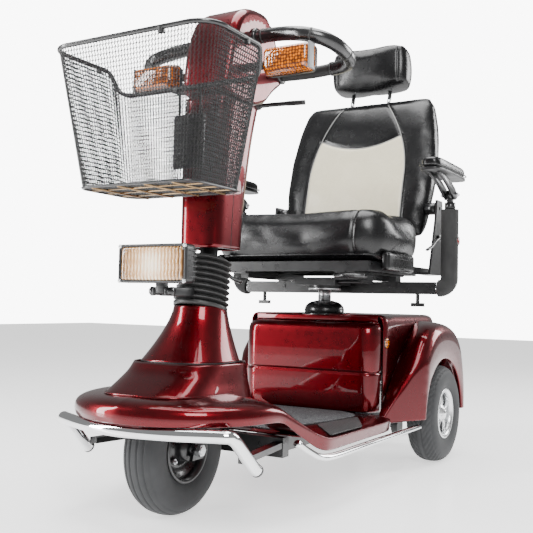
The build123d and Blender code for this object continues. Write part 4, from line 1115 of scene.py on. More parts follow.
# ------------------------------- chrome -------------------------------
bumper_route = path_points([(205, -455, 113), (204, -470, 124), (201, -510, 163), (198, -532, 181), (184,
    -546, 184), (110, -577, 183.5),
                            (50, -590, 183), (0, -593.5, 183), (-50, -590, 183), (-110, -577, 183.5), (-184,
                            -546, 184),
                            (-198, -532, 181), (-201, -510, 163), (-204, -470, 124), (-205, -455, 113)], 8)
bumper = tube(bumper_route, 12, CHROME, sides=28)
plugs = [lathe([(0, 12.3), (3, 12.3), (4.5, 9), (4.5, 0.01)], (side * 205, -455, 113), (0, 0.8, -0.6),
    BLACK_PLASTIC, 28)
         for side in (-1, 1)]
place(join("front_bumper_look", [bumper] + plugs), "chassis", "chrome", "front_bumper")
rails = []
for side in (-1, 1):
    rails.append(tube([(side * x, y, z) for x, y, z in path_points(
        [(229, -345, 150), (235, -312, 131), (242, -276, 115), (250, -236, 110), (251.5, -130, 109.5), (252,
        -20, 109.5),
         (257, 120, 110.5), (262, 262, 112)], 8)],
        9.0, CHROME, sides=22, flatten=0.8))
place(join("side_rails_look", rails), "chassis", "chrome", "side_rails")
rear = [tube(path_points([(-224, 604, 172), (-200, 607, 172), (0, 607.5, 172), (200, 607, 172), (224, 604,
    172)], 8), 12, CHROME, sides=28)]
for side in (-1, 1):
    rear.append(lathe([(0, 12.3), (3, 12.3), (5, 8), (5, 0.01)], (side * 223, 604, 172), (side, 0, 0),
        BLACK_PLASTIC, 28))
    rear.append(block((side * 120 - 10, 561, 162), (side * 120 + 10, 600, 182), POWDER, 2))
    rear.append(tube([(side * 57, 606, 168), (side * 57, 596, 120), (side * 57, 586, 70), (side * 57, 584,
        50)], 4.5, POWDER, sides=16))
place(join("rear_bumper_look", rear), "chassis", "chrome", "rear_bumper")


# ------------------------------- upholstery -------------------------------
def puff(obj, cap, voxel=5.0, pressure=4.0, hold=None):
    """Inflates a closed form as sewn fabric by cloth simulation; no point moves more than cap millimetres."""
    apply_modifiers(obj)
    add_modifier(obj, "REMESH", mode="VOXEL", voxel_size=voxel / 1000)
    apply_modifiers(obj)
    start = np.array([v.co for v in obj.data.vertices])
    group = obj.vertex_groups.new(name="hold")
    if hold is not None:
        group.add([i for i, p in enumerate(start) if hold(p * 1000)], 1.0, "REPLACE")
    cloth = obj.modifiers.new("cloth", "CLOTH")
    cloth.settings.quality = 5
    cloth.settings.mass = 0.3
    cloth.settings.tension_stiffness = 20
    cloth.settings.compression_stiffness = 20
    cloth.settings.bending_stiffness = 1.5
    cloth.settings.use_pressure = True
    cloth.settings.uniform_pressure_force = pressure
    cloth.settings.effector_weights.gravity = 0
    if hold is not None:
        cloth.settings.vertex_group_mass = "hold"
    scene = bpy.context.scene
    for f in range(1, 21):
        scene.frame_set(f)
    evaluated = obj.evaluated_get(bpy.context.evaluated_depsgraph_get())
    moved = np.array([v.co for v in evaluated.data.vertices]) - start
    length = np.linalg.norm(moved, axis=1, keepdims=True)
    limit = cap / 1000
    moved = moved * np.minimum(1, limit / np.maximum(length, 1e-9))
    obj.modifiers.clear()
    obj.data.vertices.foreach_set("co", (start + moved).ravel())
    scene.frame_set(1)
    add_modifier(obj, "SMOOTH", factor=0.5, iterations=26)
    add_modifier(obj, "SUBSURF", levels=1, render_levels=1)
    apply_modifiers(obj)
    for polygon in obj.data.polygons:
        polygon.use_smooth = True
    return obj


def sew(obj, lines, depth=3.0, width=4.0):
    """Presses seam grooves into a padded piece along lines of points, in millimetres."""
    co = np.array([v.co for v in obj.data.vertices]) * 1000
    normal = np.array([v.normal for v in obj.data.vertices])
    for line in lines:
        pts = np.array(line, float)
        near = np.full(len(co), 1e9)
        for a, b in zip(pts[:-1], pts[1:]):
            ab = b - a
            t = np.clip(((co - a) @ ab) / max(1e-9, ab @ ab), 0, 1)
            near = np.minimum(near, np.linalg.norm(co - (a + t[:, None] * ab), axis=1))
        co = co - normal * (depth * np.exp(-((near / width) ** 2)))[:, None]
    obj.data.vertices.foreach_set("co", (co / 1000).ravel())
    return obj


def drop_on(obj, points, direction, lift=0.3):
    """Moves points along a direction onto a piece's surface."""
    bpy.context.view_layer.update()
    found = []
    d = Vector(direction).normalized()
    for p in points:
        start = Vector([c / 1000 for c in p]) - d * 0.4
        hit, where, normal, _ = obj.ray_cast(start, d)
        if hit:
            found.append((where + normal * lift / 1000) * 1000)
    return [tuple(p) for p in found]


def stitches(name, line, material, gap=5.5, long=3.2, radius=0.55):
    """A row of short threads along a line."""
    pts = np.array(line, float)
    steps = np.linalg.norm(np.diff(pts, axis=0), axis=1)
    along = np.concatenate([[0], np.cumsum(steps)])
    pieces = []
    d = 0.0
    while d + long < along[-1]:
        ends = [np.array([np.interp(t, along, pts[:, i]) for i in range(3)]) for t in (d, d + long / 2,
            d + long)]
        pieces.append(tube(ends, radius, material, sides=5, name=name))
        d += gap
    return pieces


THREAD = moulded("thread", (0.32, 0.32, 0.31), 0.7)
DARK_THREAD = moulded("dark_thread", (0.07, 0.07, 0.07), 0.7)
PIPING = moulded("piping", (0.2, 0.2, 0.195), 0.5)


def seat_cushion():
    loops = []
    for n in range(15):
        u = n / 14
        z = 527 + 118 * u
        swell = sqrt(max(0.0, 1 - (2 * u - 1) ** 4))
        inset = 34 * (1 - swell) + 9
        loops.append(oval(0, 174, z, 256 - inset, 174 - inset, 5.0, 96))
    pad = solid(loops, LEATHER, name="seat_cushion_look")
    puff(pad, 9, 6.0, 4.0, hold=lambda p: p[2] < 529)
    co = np.array([v.co for v in pad.data.vertices]) * 1000
    x, y, z = co.T
    top = np.clip((z - 560) / 60, 0, 1)
    dish = 15 * np.exp(-((x / 150) ** 2) - ((y - 205) / 120) ** 2)
    crown = 5 * np.exp(-(((np.abs(x) - 195) / 38) ** 2)) * np.exp(-(((y - 190) / 190) ** 2))
    z = z - top * dish + top * crown - 10 * top * np.clip((60 - y) / 60, 0, 1) ** 2
    wrinkle = (1.3 * np.sin(x / 21 + 1.7 * np.sin(z / 19)) * np.exp(-((y - 6) / 40) ** 2)
               * np.exp(-((z - 575) / 40) ** 2))
    y = y + wrinkle * 0.6
    z = np.minimum(z, 650.5)
    x = np.clip(x, -254, 254)
    pad.data.vertices.foreach_set("co", (np.stack([x, np.maximum(y, 0.5), z], 1) / 1000).ravel())
    pad.data.update()
    pieces = []
    seams = []
    for side in (-1, 1):
        rough = [(side * (172 + 3 * sin(t / 14 * pi)), 346 - 334 * t / 14, 600) for t in range(15)]
        over = drop_on(pad, rough, (0, 0, -1), 0.0)
        front = drop_on(pad, [(side * 172, 0, z) for z in range(628, 534, -10)], (0, 1, 0), 0.0)
        seams.append(over + front)
    sew(pad, seams, 3.2, 4.5)
    pad.data.update()
    for i, seam in enumerate(seams):
        for offset in (-5.5, 5.5):
            line = [(p[0] + offset, p[1], p[2]) for p in seam]
            over = drop_on(pad, line[:15], (0, 0, -1), 0.2)
            pieces += stitches(f"seat_stitch_{i}", over, DARK_THREAD)
    welt = []
    for n in range(121):
        t = 2 * pi * n / 120
        c, s = cos(t), sin(t)
        welt.append((246 * signed_power(c, 0.4), 174 + 166 * signed_power(s, 0.4), 541))
    on_skin = []
    bpy.context.view_layer.update()
    for p in welt:
        centre = Vector((0.0, 0.174, 0.541))
        direction = (Vector([c / 1000 for c in p]) - centre).normalized()
        hit, where, normal, _ = pad.ray_cast(centre + direction * 0.5, -direction)
        if hit:
            on_skin.append(tuple((where + normal * 0.0004) * 1000))
    pieces.append(tube(on_skin, 2.6, LEATHER, sides=10))
    for side in (-1, 1):
        low, high = sorted((side * 226, side * 248))
        pieces.append(block((low, 67, 504), (high, 244, 548), LEATHER, 8, 5))
        for z in (512, 534):
            pieces += stitches(f"skirt_stitch_{side}", [(side * 248.4, 78, z), (side * 248.4, 234, z)],
                DARK_THREAD)
    trim = join("seat_cushion_trim", pieces)
    return pad, trim


def back_point(x, rear, h):
    p = BACK_AT + rear * BACK_REAR + h * BACK_UP
    return (x, p[1], p[2])


def back_material():
    """Black leather with a cream panel let into the middle of the backrest."""
    k = Kit("backrest_leather")
    x, y, z = k.axes()
    h = k.math("ADD", k.math("MULTIPLY", k.math("SUBTRACT", z, 0.69), cos(RECLINE)),
               k.math("MULTIPLY", k.math("SUBTRACT", y, 0.415), sin(RECLINE)))
    rear = k.math("SUBTRACT", k.math("MULTIPLY", k.math("SUBTRACT", y, 0.415), cos(RECLINE)),
                  k.math("MULTIPLY", k.math("SUBTRACT", z, 0.69), sin(RECLINE)))
    ax = k.math("ABSOLUTE", x)
    lower = k.math("LESS_THAN", h, k.math("ADD", 0.192, k.math("MULTIPLY", k.math("POWER", ax, 2.0), 2.0)))
    above = k.math("GREATER_THAN", h, -0.075)
    half = k.math("SUBTRACT", 0.150, k.math("MULTIPLY", k.math("POWER", k.math("MAXIMUM",
        k.math("SUBTRACT", h, 0.1), 0.0), 2.0), 1.45))
    inside = k.math("LESS_THAN", ax, half)
    front = k.math("LESS_THAN", rear, 0.0)
    mask = k.math("MULTIPLY", k.math("MULTIPLY", lower, above), k.math("MULTIPLY", inside, front))
    black = k.mix(mask, (0.0035, 0.0035, 0.0038), (0.58, 0.53, 0.38))
    other = k.mix(mask, (0.006, 0.006, 0.0065), (0.64, 0.59, 0.45))
    leather_shader(k, (0.5, 0.5, 0.5), (0.5, 0.5, 0.5))
    grain = k.cells(420, feature="DISTANCE_TO_EDGE")
    shade = k.ramp(grain, (0.0, 0.78), (0.14, 1.0))
    mixed = k.mix(k.noise(9, 4), black, other)
    tint = k.tree.nodes.new("ShaderNodeMix")
    tint.data_type = "RGBA"
    tint.blend_type = "MULTIPLY"
    k.put(tint.inputs[0], 1.0)
    k.put(tint.inputs[6], mixed)
    k.put(tint.inputs[7], shade)
    k.set(Base_Color=tint.outputs[2])
    return k.material


def panel_half(h):
    return 150 - 1450 * max(0.0, (h - 100) / 1000) ** 2


def backrest():
    """The backrest: side bolsters that come forward, an upper pad and a cream insert."""
    loops = []
    for n in range(27):
        u = n / 26
        h = -83 + 445 * u
        side = float(np.interp(h, (-82, -40, 60, 160, 260, 330, 358), (217, 225, 235, 239, 226, 211, 196)))
        deep = float(np.interp(h, (-82, -50, 60, 250, 330, 358), (22, 29, 39, 38, 33, 18)))
        end = min(1.0, (u / 0.05 + 0.25), ((1 - u) / 0.07 + 0.3))
        deep *= end ** 0.5
        loop = []
        for i in range(88):
            t = 2 * pi * i / 88
            c, s = cos(t), sin(t)
            x = side * signed_power(c, 2 / 4.2)
            r = deep * signed_power(s, 2 / 3.0)
            wing = max(0.0, (abs(x) - 120) / 110) ** 2
            if r < 0:
                r -= 9 * wing * (1 if 0 < h < 300 else 0.6)
            r += float(np.interp(h, (-88, 150, 366), (8, 17, 14))) - 5 * (abs(x) / 235) ** 2
            loop.append(back_point(x, r, h))
        loops.append(loop)
    pad = solid(loops, back_material(), name="backrest_look")
    puff(pad, 6, 6.0, 3.5)
    edges = []
    for side in (-1, 1):
        edges.append([(side * panel_half(h), h) for h in range(-70, 346, 16)])
    curve = [(x, 192 + 2.0 * x * x / 1000) for x in range(-128, 129, 16)]
    lines = []
    for edge in edges + [curve]:
        lines.append(drop_on(pad, [back_point(x, -60, h) for x, h in edge], BACK_REAR, 0.0))
    sew(pad, lines, 3.4, 5.0)
    co = np.array([v.co for v in pad.data.vertices]) * 1000
    normal = np.array([v.normal for v in pad.data.vertices])
    h = (co - BACK_AT) @ BACK_UP
    r = (co - BACK_AT) @ BACK_REAR
    x = co[:, 0]
    upper = np.exp(-((h - 275) / 55.0) ** 2) * np.exp(-((x / 105) ** 4)) * (r < 0)
    waist = np.exp(-((h - 60) / 70.0) ** 2) * np.exp(-((x / 120) ** 4)) * (r < 0)
    wave = 0.7 * np.sin(x / 17 + h / 31) * np.exp(-((h - 70) / 90) ** 2) * (r < 0)
    co = co + normal * (5 * upper + 3 * waist + wave)[:, None]
    pad.data.vertices.foreach_set("co", (co / 1000).ravel())
    pad.data.update()
    pieces = []
    for i, edge in enumerate(edges + [curve]):
        line = drop_on(pad, [back_point(x, -60, h) for x, h in edge], BACK_REAR, 0.2)
        if len(line) > 3:
            pieces.append(tube(path_points(line, 4), 1.5, PIPING, sides=10))
    rim = []
    for n in range(140):
        t = 2 * pi * n / 140
        c, s = cos(t), sin(t)
        rim.append((250 * signed_power(c, 0.35), 138 + 250 * signed_power(s, 0.35)))
    bpy.context.view_layer.update()
    skin = []
    for x, h in rim:
        centre = Vector([c / 1000 for c in back_point(0, 20, 138)])
        out = (Vector([c / 1000 for c in back_point(x, 20, h)]) - centre).normalized()
        hit, where, nrm, _ = pad.ray_cast(centre + out * 0.6, -out)
        if hit:
            skin.append(tuple((where + nrm * 0.0003) * 1000))
    pieces.append(tube(skin, 2.2, LEATHER, closed=True, sides=10))
    for side in (-1, 1):
        p = back_point(side * 222, 0, 0)
        pieces.append(lathe([(-4, 0.01), (-4, 17), (20, 17), (24, 15), (26.5, 11), (26.5, 0.01)], p, (side,
            0, 0), POWDER, 32))
    return pad, join("backrest_trim", pieces)


def headrest():
    loops = []
    for n in range(17):
        u = n / 16
        h = 396 + 122 * u
        lean = float(np.interp(h, (396, 455, 520), (7, -6, -28)))
        side = 117 + 8 * sin(pi * u)
        deep = 43 + 6 * sin(pi * u) - 3 * u
        end = min(1.0, (u / 0.06 + 0.35), ((1 - u) / 0.06 + 0.35)) ** 0.5
        loop = []
        for i in range(72):
            t = 2 * pi * i / 72
            c, s = cos(t), sin(t)
            loop.append(back_point(side * end * signed_power(c, 2 / 5),
                                   lean + deep * end * signed_power(s, 2 / 3.6), h))
        loops.append(loop)
    pad = solid(loops, LEATHER, name="headrest_look")
    puff(pad, 6, 5.0, 3.5)
    lines = []
    for side in (-1, 1):
        lines.append(drop_on(pad, [back_point(side * 99, -90, h) for h in range(398, 520, 8)], BACK_REAR,
            0.0))
    sew(pad, [l for l in lines if len(l) > 2], 2.2, 3.5)
    pad.data.update()
    pieces = []
    for i, side in enumerate((-1, 1)):
        for off in (-4.5, 4.5):
            line = drop_on(pad, [back_point(side * 99 + off, -90, h) for h in range(400, 516, 6)],
                BACK_REAR, 0.15)
            pieces += stitches(f"head_stitch_{i}", line, DARK_THREAD)
        p = BACK_AT + 12 * BACK_REAR
        pieces.append(tube([(side * 60, *(p + h * BACK_UP)[1:]) for h in (292, 350, 420)], 5.9, CHROME,
            sides=20))
        pieces.append(lathe([(0, 8), (0, 12), (5, 12), (7, 10), (7, 7)], (side * 60,
            *(p + 396 * BACK_UP)[1:]), BACK_UP, BLACK_PLASTIC, 24))
    return pad, join("headrest_trim", pieces)


def arm_pad(side):
    """The armrest: a padded top on a curved bracket."""
    loops = []
    for n in range(13):
        u = n / 12
        z = 756 + 30 * u
        inset = 9 * (1 - sqrt(max(0.0, 1 - (2 * u - 1) ** 4)))
        loops.append(oval(side * ARM_X, 252, z, 28 - inset, 117 - inset, 4.5, 64))
    pad = solid(loops, LEATHER, name=f"arm_pad_{side}")
    puff(pad, 4, 4.0, 3.0)
    welt = [(side * ARM_X + 30.6 * signed_power(cos(t), 0.42),
             252 + 119.5 * signed_power(sin(t), 0.42), 764) for t in [2 * pi * n / 80 for n in range(80)]]
    pieces = [tube(welt, 1.7, LEATHER, closed=True, sides=8)]
    base = solid([oval(side * ARM_X, 252, z, 29 - i, 118 - i, 4.5, 64) for z, i in ((752, 3), (753, 0),
        (758, 0), (759, 2))],
                BLACK_PLASTIC)
    pieces.append(base)
    for x in (side * ARM_X - 11.5, side * ARM_X + 11.5):
        outline = [(294, 702), (306, 697), (318, 702), (321, 714), (300, 728), (262, 742), (224, 752), (172,
            752), (174, 746), (205, 739), (244, 724), (274, 710)]
        left = [(x - 3.3, y, z) for y, z in outline]
        right = [(x + 3.3, y, z) for y, z in outline]
        plate = solid([left, right], POWDER)
        rounded(plate, 1.2, 2)
        pieces.append(plate)
    pieces.append(bolt((side * ARM_X + side * 15, ARM_Y, 710), (side, 0, 0), 14, 6, STEEL))
    pieces.append(bolt((side * ARM_X - side * 15, ARM_Y, 710), (-side, 0, 0), 14, 6, STEEL))
    return pad, join(f"arm_trim_{side}", pieces)


def arm_tube(side):
    """The bent arm support in its foam sleeve."""
    route = [(292, ARM_Y, 467), (300, ARM_Y, 467.0)]
    for n in range(13):
        t = pi / 2 * n / 12
        route.append((294 + 26 * sin(t), ARM_Y, 493 - 26 * cos(t)))
    route += [(320, ARM_Y, 560), (320, ARM_Y, 640), (320, ARM_Y, 672)]
    sleeve = tube([(side * x, y, z) for x, y, z in route], 22.2, FOAM, sides=36)
    rounded(sleeve, 4, 3, 50)
    pieces = [sleeve]
    pieces.append(tube([(side * 150, ARM_Y, 467), (side * 220, ARM_Y, 467), (side * 293, ARM_Y, 467)], 13.9,
        POWDER, sides=28))
    pieces.append(lathe([(-3, 14), (-3, 16), (3, 16), (3, 14)], (side * 289.5, ARM_Y, 467), (1, 0, 0),
        CHROME,
        32))
    pieces.append(tube([(side * ARM_X, ARM_Y, 670), (side * ARM_X, ARM_Y, 680), (side * ARM_X, ARM_Y, 690)],
        13.8,
        POWDER, sides=28))
    pieces.append(block((side * ARM_X - 7, 296, 688), (side * ARM_X + 7, 314, 711), POWDER, 2))
    pieces.append(lathe([(-7, 0.01), (-7, 12), (-6, 13), (6, 13), (7, 12), (7, 0.01)], (side * ARM_X, 305,
        710), (1, 0, 0), POWDER, 32))
    pieces.append(lathe([(-17, 0.01), (-17, 4.4), (17, 4.4), (17, 0.01)], (side * ARM_X, ARM_Y, 710), (1, 0,
        0),
        STEEL, 20))
    pieces.append(lathe([(0, 9), (2, 9), (3.2, 7), (3.5, 0.01)], (side * 341.5, ARM_Y, 590), (side, 0, 0),
        RED_LENS, 28))
    pieces.append(lathe([(-1.5, 11), (2, 11), (2.5, 9.4)], (side * 341.5, ARM_Y, 590), (side, 0, 0),
        BLACK_PLASTIC, 28))
    return join(f"arm_tube_look_{side}", pieces)


pad, trim = seat_cushion()
place(pad, "seat_frame", "leather", "seat_cushion")
place(trim, "seat_frame", "leather")
pad, trim = backrest()
place(pad, "backrest", "leather", "backrest")
place(trim, "backrest", "leather")
pad, trim = headrest()
place(pad, "headrest", "leather", "headrest")
place(trim, "headrest", "leather")
for side, word in ((1, "left"), (-1, "right")):
    pad, trim = arm_pad(side)
    place(pad, f"armrest_{word}", "leather", f"armrest_{word}")
    place(trim, f"armrest_{word}", "frame_black")
    place(arm_tube(side), f"arm_{word}", "frame_black", f"armrest_tube_{word}")


# ------------------------------- small fittings -------------------------------
def mats():
    """The speckled mat in the foot well and the dark tread pads beside it."""
    edge = []
    half = ((100, -232), (118, -180), (142, -112), (158, -36), (168, 46), (163, 74), (150, 90), (132, 102),
        (112, 111))
    for x, y in half + tuple((-x, y) for x, y in reversed(half)):
        edge.append((x, y, 150))
    sheet = solid([edge, [(x, y, 153.6) for x, y, z in edge]], MAT)
    rounded(sheet, 1.0, 2)
    pieces = [sheet]
    for side in (-1, 1):
        pad = [(side * x, y, 150.0) for x, y in ((154, -113), (240, -224), (244, -218), (247, -78), (242,
            -64), (182, 47), (178, 42))]
        top = [(x, y, 152.8) for x, y, z in pad]
        tread = solid([pad, top], TREAD)
        rounded(tread, 1.2, 2)
        pieces.append(tread)
    return join("floor_mats_look", pieces)


def post_boot():
    profile = [(0.2, 59), (3.6, 59.5), (4.4, 55), (5, 53), (14, 53.5), (22, 51), (29, 45), (34, 36), (36,
        26), (36, 19)]
    dome = lathe(profile, (0, 226, 392), (0, 0, 1), SATIN_PLASTIC, 64)
    ring = lathe([(36, 27), (39, 26), (39.5, 21), (37, 18.6)], (0, 226, 390), (0, 0, 1), POWDER, 48)
    plate = block((-66, 176, 392.2), (88, 290, 394.6), POWDER, 1)
    return join("seat_post_boot_look", [dome, ring, plate])


def seat_post():
    profile = [(0, 0.01), (0, 17.4), (292, 17.4), (294, 16), (296, 17.2), (306, 17.2), (307, 28), (307, 43),
        (309, 44), (312, 44), (313, 43), (313, 0.01)]
    return lathe(profile, (0, 226, 151), (0, 0, 1), STEEL, 56, name="seat_post_look")


def lens_pair(name, loops_of, material):
    return join(name, [solid(loops_of(side), material,
        name=f"{name}_{side}") for side in (-1, 1)])


def tail_light(side):
    loops = []
    for y, half, tall in ((585.9, 31, 19), (590, 32, 20), (596, 31, 19), (599.4, 27, 16)):
        loops.append([(side * 140 + x, y, 316 + z) for x, z in rounded_box(half, tall, 8)])
    return loops


def side_reflector():
    pieces = []
    for side in (-1, 1):
        pieces.append(lathe([(0, 14), (3.5, 14), (4.5, 12.6)], (side * 193.6, 186, 324), (side, 0, 0),
            BLACK_PLASTIC, 40))
        pieces.append(lathe([(3.8, 12.8), (6, 12.4), (7.2, 9), (7.4, 0.01)], (side * 193.6, 186, 324),
            (side, 0, 0), AMBER, 40))
    return join("side_reflectors_look", pieces)


def cockpit():
    """The dash face with its gauge, legends left blank, and the controls on it."""
    a = atan2(69, 130)
    up = np.array([0, -sin(a), cos(a)])
    out = np.array([0, cos(a), sin(a)])
    at = np.array([0, -154.5, 998.0])

    def on(u, v, h):
        return at + np.array([-u, 0, 0]) + up * v + out * h

    loops = []
    for h, half, tall in ((0.2, 54, 62), (3.4, 54, 62), (4.2, 52.5, 60.5)):
        loops.append([on(x, z, h) for x, z in rounded_box(half, tall, 16)])
    panel = solid(loops, SATIN_PLASTIC)
    pieces = [panel]
    gauge = lathe([(4, 15), (6, 15), (7, 13.6), (6, 12.6), (5.6, 0.01)], on(0, 36, 0), out, CHROME, 48)
    dial = lathe([(5.8, 12.7), (6.3, 12.2), (6.5, 0.01)], on(0, 36, 0), out, GREY_PLASTIC, 48)
    needle = tube([on(0, 36, 7), on(3, 41, 7), on(6, 46, 7)], 0.5, RED_LENS, sides=6)
    pieces += [gauge, dial, needle]
    for u, v in ((-44, 54), (44, 54), (-44, -54), (44, -54)):
        pieces.append(lathe([(3.9, 3.4), (5, 3.2), (5.4, 2), (4.8, 0.01)], on(u, v, 0), out, STEEL, 16))
    ticks = []
    for n in range(11):
        t = radians(220 - 26 * n)
        ticks.append(tube([on(22 * cos(t), -18 + 22 * sin(t), 4.3), on(23.6 * cos(t), -18 + 23.6 * sin(t),
            4.3),
                                        on((24 + n * 0.2) * cos(t), -18 + (24 + n * 0.2) * sin(t), 4.3)],
                                        0.45, GREY_PLASTIC, sides=6))
    place(join("dash_panel_look", pieces + ticks), "tiller", "plastic_black", "dash_panel")
    knob_profile = [(4.6, 0.01), (4.6, 16.6), (8, 16.8), (16, 15.4), (18.2, 13.6), (18.5, 0.01)]
    knob = lathe(knob_profile, on(0, -18, 0), out, BLACK_PLASTIC, 64)
    ridges = []
    for n in range(20):
        t = 2 * pi * n / 20
        ridges.append(tube([on(16.4 * cos(t), -18 + 16.4 * sin(t), h) for h in (6, 10, 15)], 0.8,
            BLACK_PLASTIC, sides=6))
    mark = tube([on(0, -18 + r, 18.7) for r in (3, 8, 13)], 0.8, THREAD, sides=6)
    place(join("speed_knob_look", [knob, mark] + ridges), "speed_knob", "plastic_black", "speed_knob")
    barrel = lathe([(4.5, 0.01), (4.5, 8), (7.6, 8), (8.4, 7), (8.4, 0.01)], on(36, 30, 0), out, CHROME, 40)
    grip_loops = []
    for h, half in ((8, 3.4), (12, 3.6), (14, 7.4), (28, 7.4), (30, 5.5)):
        grip_loops.append([on(36 + x, 30 + z, h) for x, z in rounded_box(1.4, half, 1.2, 3)])
    bow = solid(grip_loops, BLACK_PLASTIC)
    place(join("ignition_key_look", [barrel, bow]), "ignition_key", "steel", "ignition_key")
    for name, u, material in (("horn_button", -36, RED_LENS), ("light_button", 36, GREY_PLASTIC)):
        cap = lathe([(2.5, 0.01), (2.5, 8.9), (7.8, 8.9), (9.1, 7.4), (9.0, 4), (8.6, 0.01)], on(u, -30, 0),
            out, material, 40, name=f"{name}_cap")
        place(cap, name, "plastic_black", name)
    rocker_loops = []
    for h, half, tall in ((4.7, 12.9, 7.9), (7, 12.9, 7.9), (9.8, 11.5, 6.6), (10.4, 9.5, 5)):
        rocker_loops.append([on(-36 + x, 24 + z, h) for x, z in rounded_box(half, tall, 2.5)])
    place(solid(rocker_loops, GREY_PLASTIC, name="indicator_switch_look"),
        "indicator_switch", "plastic_black", "indicator_switch")


place(mats(), "chassis", "mat_grey", "floor_mats")
place(post_boot(), "chassis", "plastic_black", "seat_post_boot")
place(seat_post(), "seat_post", "steel", "seat_post")
place(lens_pair("tail_lights_look", tail_light, RED_LENS), "chassis", "red_lens", "tail_lights")
place(side_reflector(), "chassis", "amber", "side_reflectors")
cockpit()

throttle = []
for side in (-1, 1):
    route = path_points([(side * 4, -152, 875), (side * 40, -152, 875), (side * 84, -146, 875), (side * 122,
        -139, 875)], 6)
    throttle.append(tube(route, [5.6] * 12 + [6.2] * (len(route) - 12), BLACK_PLASTIC, sides=16,
        flatten=0.9))
throttle.append(lathe([(-5.9, 5.2), (-5.9, 12), (-4, 13.8), (4, 13.8), (5.9, 12), (5.9, 5.2)], (0, -152,
    875), (0, 0, 1), BLACK_PLASTIC, 40, closed=True))
place(join("throttle_lever_look", throttle), "throttle_lever", "plastic_black", "throttle_lever")
lever = tube(path_points([(0, -303, 498), (0, -262, 484), (0, -236, 473), (0, -201, 468)], 6),
             [4.6] * 13 + [5.4] * 6, POWDER, sides=16)
ball = lathe([(-20, 4), (-18, 6), (0, 7), (4, 5.5), (5, 0.01)], (0, -204, 468.5), (0, 0.98, -0.14),
    SATIN_PLASTIC, 28)
hub = lathe([(-5.4, 4.2), (-5.4, 8), (5.4, 8), (5.4, 4.2)], (0, -303, 498), (1, 0, 0), POWDER, 28,
    closed=True)
place(join("tilt_lever_look", [lever, ball, hub]), "tilt_lever", "plastic_black", "tilt_lever")
arm = tube(path_points([(260, 404, 608), (260.5, 372, 597), (260.5, 340, 580), (260.5, 303, 568)], 6),
    [4.2] * 13 + [5.0] * 6, SATIN_PLASTIC, sides=16, flatten=0.7)
hub = lathe([(-3, 0.01), (-3, 8.5), (2.6, 8.5), (3, 7.5), (3, 0.01)], (260, 404, 608), (1, 0, 0), POWDER,
    32)
place(join("recline_lever_look", [arm, hub]), "recline_lever", "plastic_black", "recline_lever")
wire = tube(path_points([(154, -33, 487), (176, -33, 487), (190, -28, 487), (193, -10, 487), (193, 30, 487),
    (193, 62, 489)], 6), 3.2, POWDER, sides=14)
grip = tube([(152, -33, 487), (180, -33, 487), (228, -33, 487)], 4.6, SATIN_PLASTIC, sides=16)
place(join("slide_lever_look", [wire, grip]), "slide_lever", "frame_black", "slide_lever")

# ------------------------------- frame pieces carried over from the CAD -------------------------------
FINISH = {
    "main_frame": POWDER, "steering_bearings": STEEL, "batteries": BATTERY, "controller": ALLOY,
    "transaxle": ALLOY,
    "front_fork": POWDER, "front_axle": STEEL, "tiller_column": POWDER, "basket_bracket": POWDER,
    "seat_swivel_plate": POWDER,
    "swivel_lever": POWDER, "seat_pan": POWDER, "anti_tip_wheels": RUBBER, "freewheel_lever": RED_LENS,
}
for node, finish in FINISH.items():
    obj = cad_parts[node]
    obj.data.materials.clear()
    obj.data.materials.append(finish)

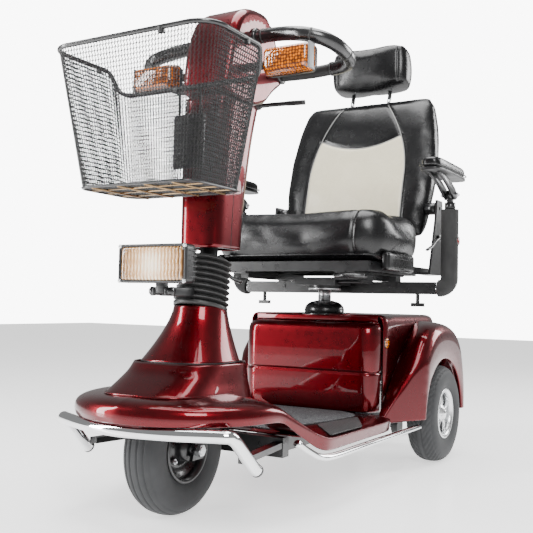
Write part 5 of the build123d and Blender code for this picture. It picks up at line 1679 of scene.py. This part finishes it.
# ------------------------------- stage, light and camera -------------------------------
floor_material = moulded("stage_white", (0.92, 0.92, 0.92), 0.22, grain=0.00001, vary=0.0)
floor_shader = floor_material.node_tree.nodes["Principled BSDF"]
floor_shader.inputs["Emission Color"].default_value = (1, 1, 1, 1)
floor_shader.inputs["Emission Strength"].default_value = 1.1
floor = mesh("studio_floor", [(-9000, -9000, -0.5), (9000, -9000, -0.5), (9000, 9000, -0.5), (-9000, 9000,
    -0.5)], [(0, 1, 2, 3)], floor_material)
world = bpy.data.worlds.new("studio")
world.use_nodes = True
world_nodes = world.node_tree.nodes
world_light = world_nodes["Background"]
world_light.inputs[0].default_value = (1, 1, 1, 1)
world_light.inputs[1].default_value = 0.3
world_seen = world_nodes.new("ShaderNodeBackground")
world_seen.inputs[0].default_value = (1, 1, 1, 1)
world_seen.inputs[1].default_value = 9.0
seen = world_nodes.new("ShaderNodeMixShader")
world.node_tree.links.new(world_nodes.new("ShaderNodeLightPath").outputs["Is Camera Ray"], seen.inputs[0])
world.node_tree.links.new(world_light.outputs[0], seen.inputs[1])
world.node_tree.links.new(world_seen.outputs[0], seen.inputs[2])
world.node_tree.links.new(seen.outputs[0], world_nodes["World Output"].inputs[0])
bpy.context.scene.world = world


def area(name, at, aim, size, power, tall=None):
    data = bpy.data.lights.new(name, "AREA")
    data.shape = "RECTANGLE"
    data.size = size
    data.size_y = tall or size
    data.energy = power
    obj = bpy.data.objects.new(name, data)
    bpy.context.scene.collection.objects.link(obj)
    obj.location = at
    obj.rotation_euler = (Vector(aim) - Vector(at)).to_track_quat("-Z", "Y").to_euler()
    return obj


area("key", (2.2, -2.6, 2.6), (0, 0, 0.5), 1.4, 150, 1.8)
area("strip_left", (-2.0, -1.8, 1.1), (0, -0.2, 0.5), 0.4, 100, 2.2)
area("top", (0, 0, 3.2), (0, 0, 0), 2.2, 150)
area("rear_fill", (1.6, 2.4, 1.6), (0, 0.2, 0.5), 1.2, 60)

pitch, turn, roll = radians(2.6), radians(30.5), radians(1.2)
look = Vector((-sin(turn) * cos(pitch), cos(turn) * cos(pitch), sin(pitch)))
right = look.cross(Vector((0, 0, 1))).normalized()
up = right.cross(look)
right, up = right * cos(roll) + up * sin(roll), up * cos(roll) - right * sin(roll)
camera_data = bpy.data.cameras.new("camera")
camera_data.sensor_width = 36
camera_data.lens = 53.88
camera = bpy.data.objects.new("camera", camera_data)
camera.matrix_world = Matrix(((right.x, up.x, -look.x, 0.961), (right.y, up.y, -look.y, -1.719), (right.z,
    up.z, -look.z, 0.42), (0, 0, 0, 1)))
bpy.context.scene.collection.objects.link(camera)
bpy.context.scene.camera = camera
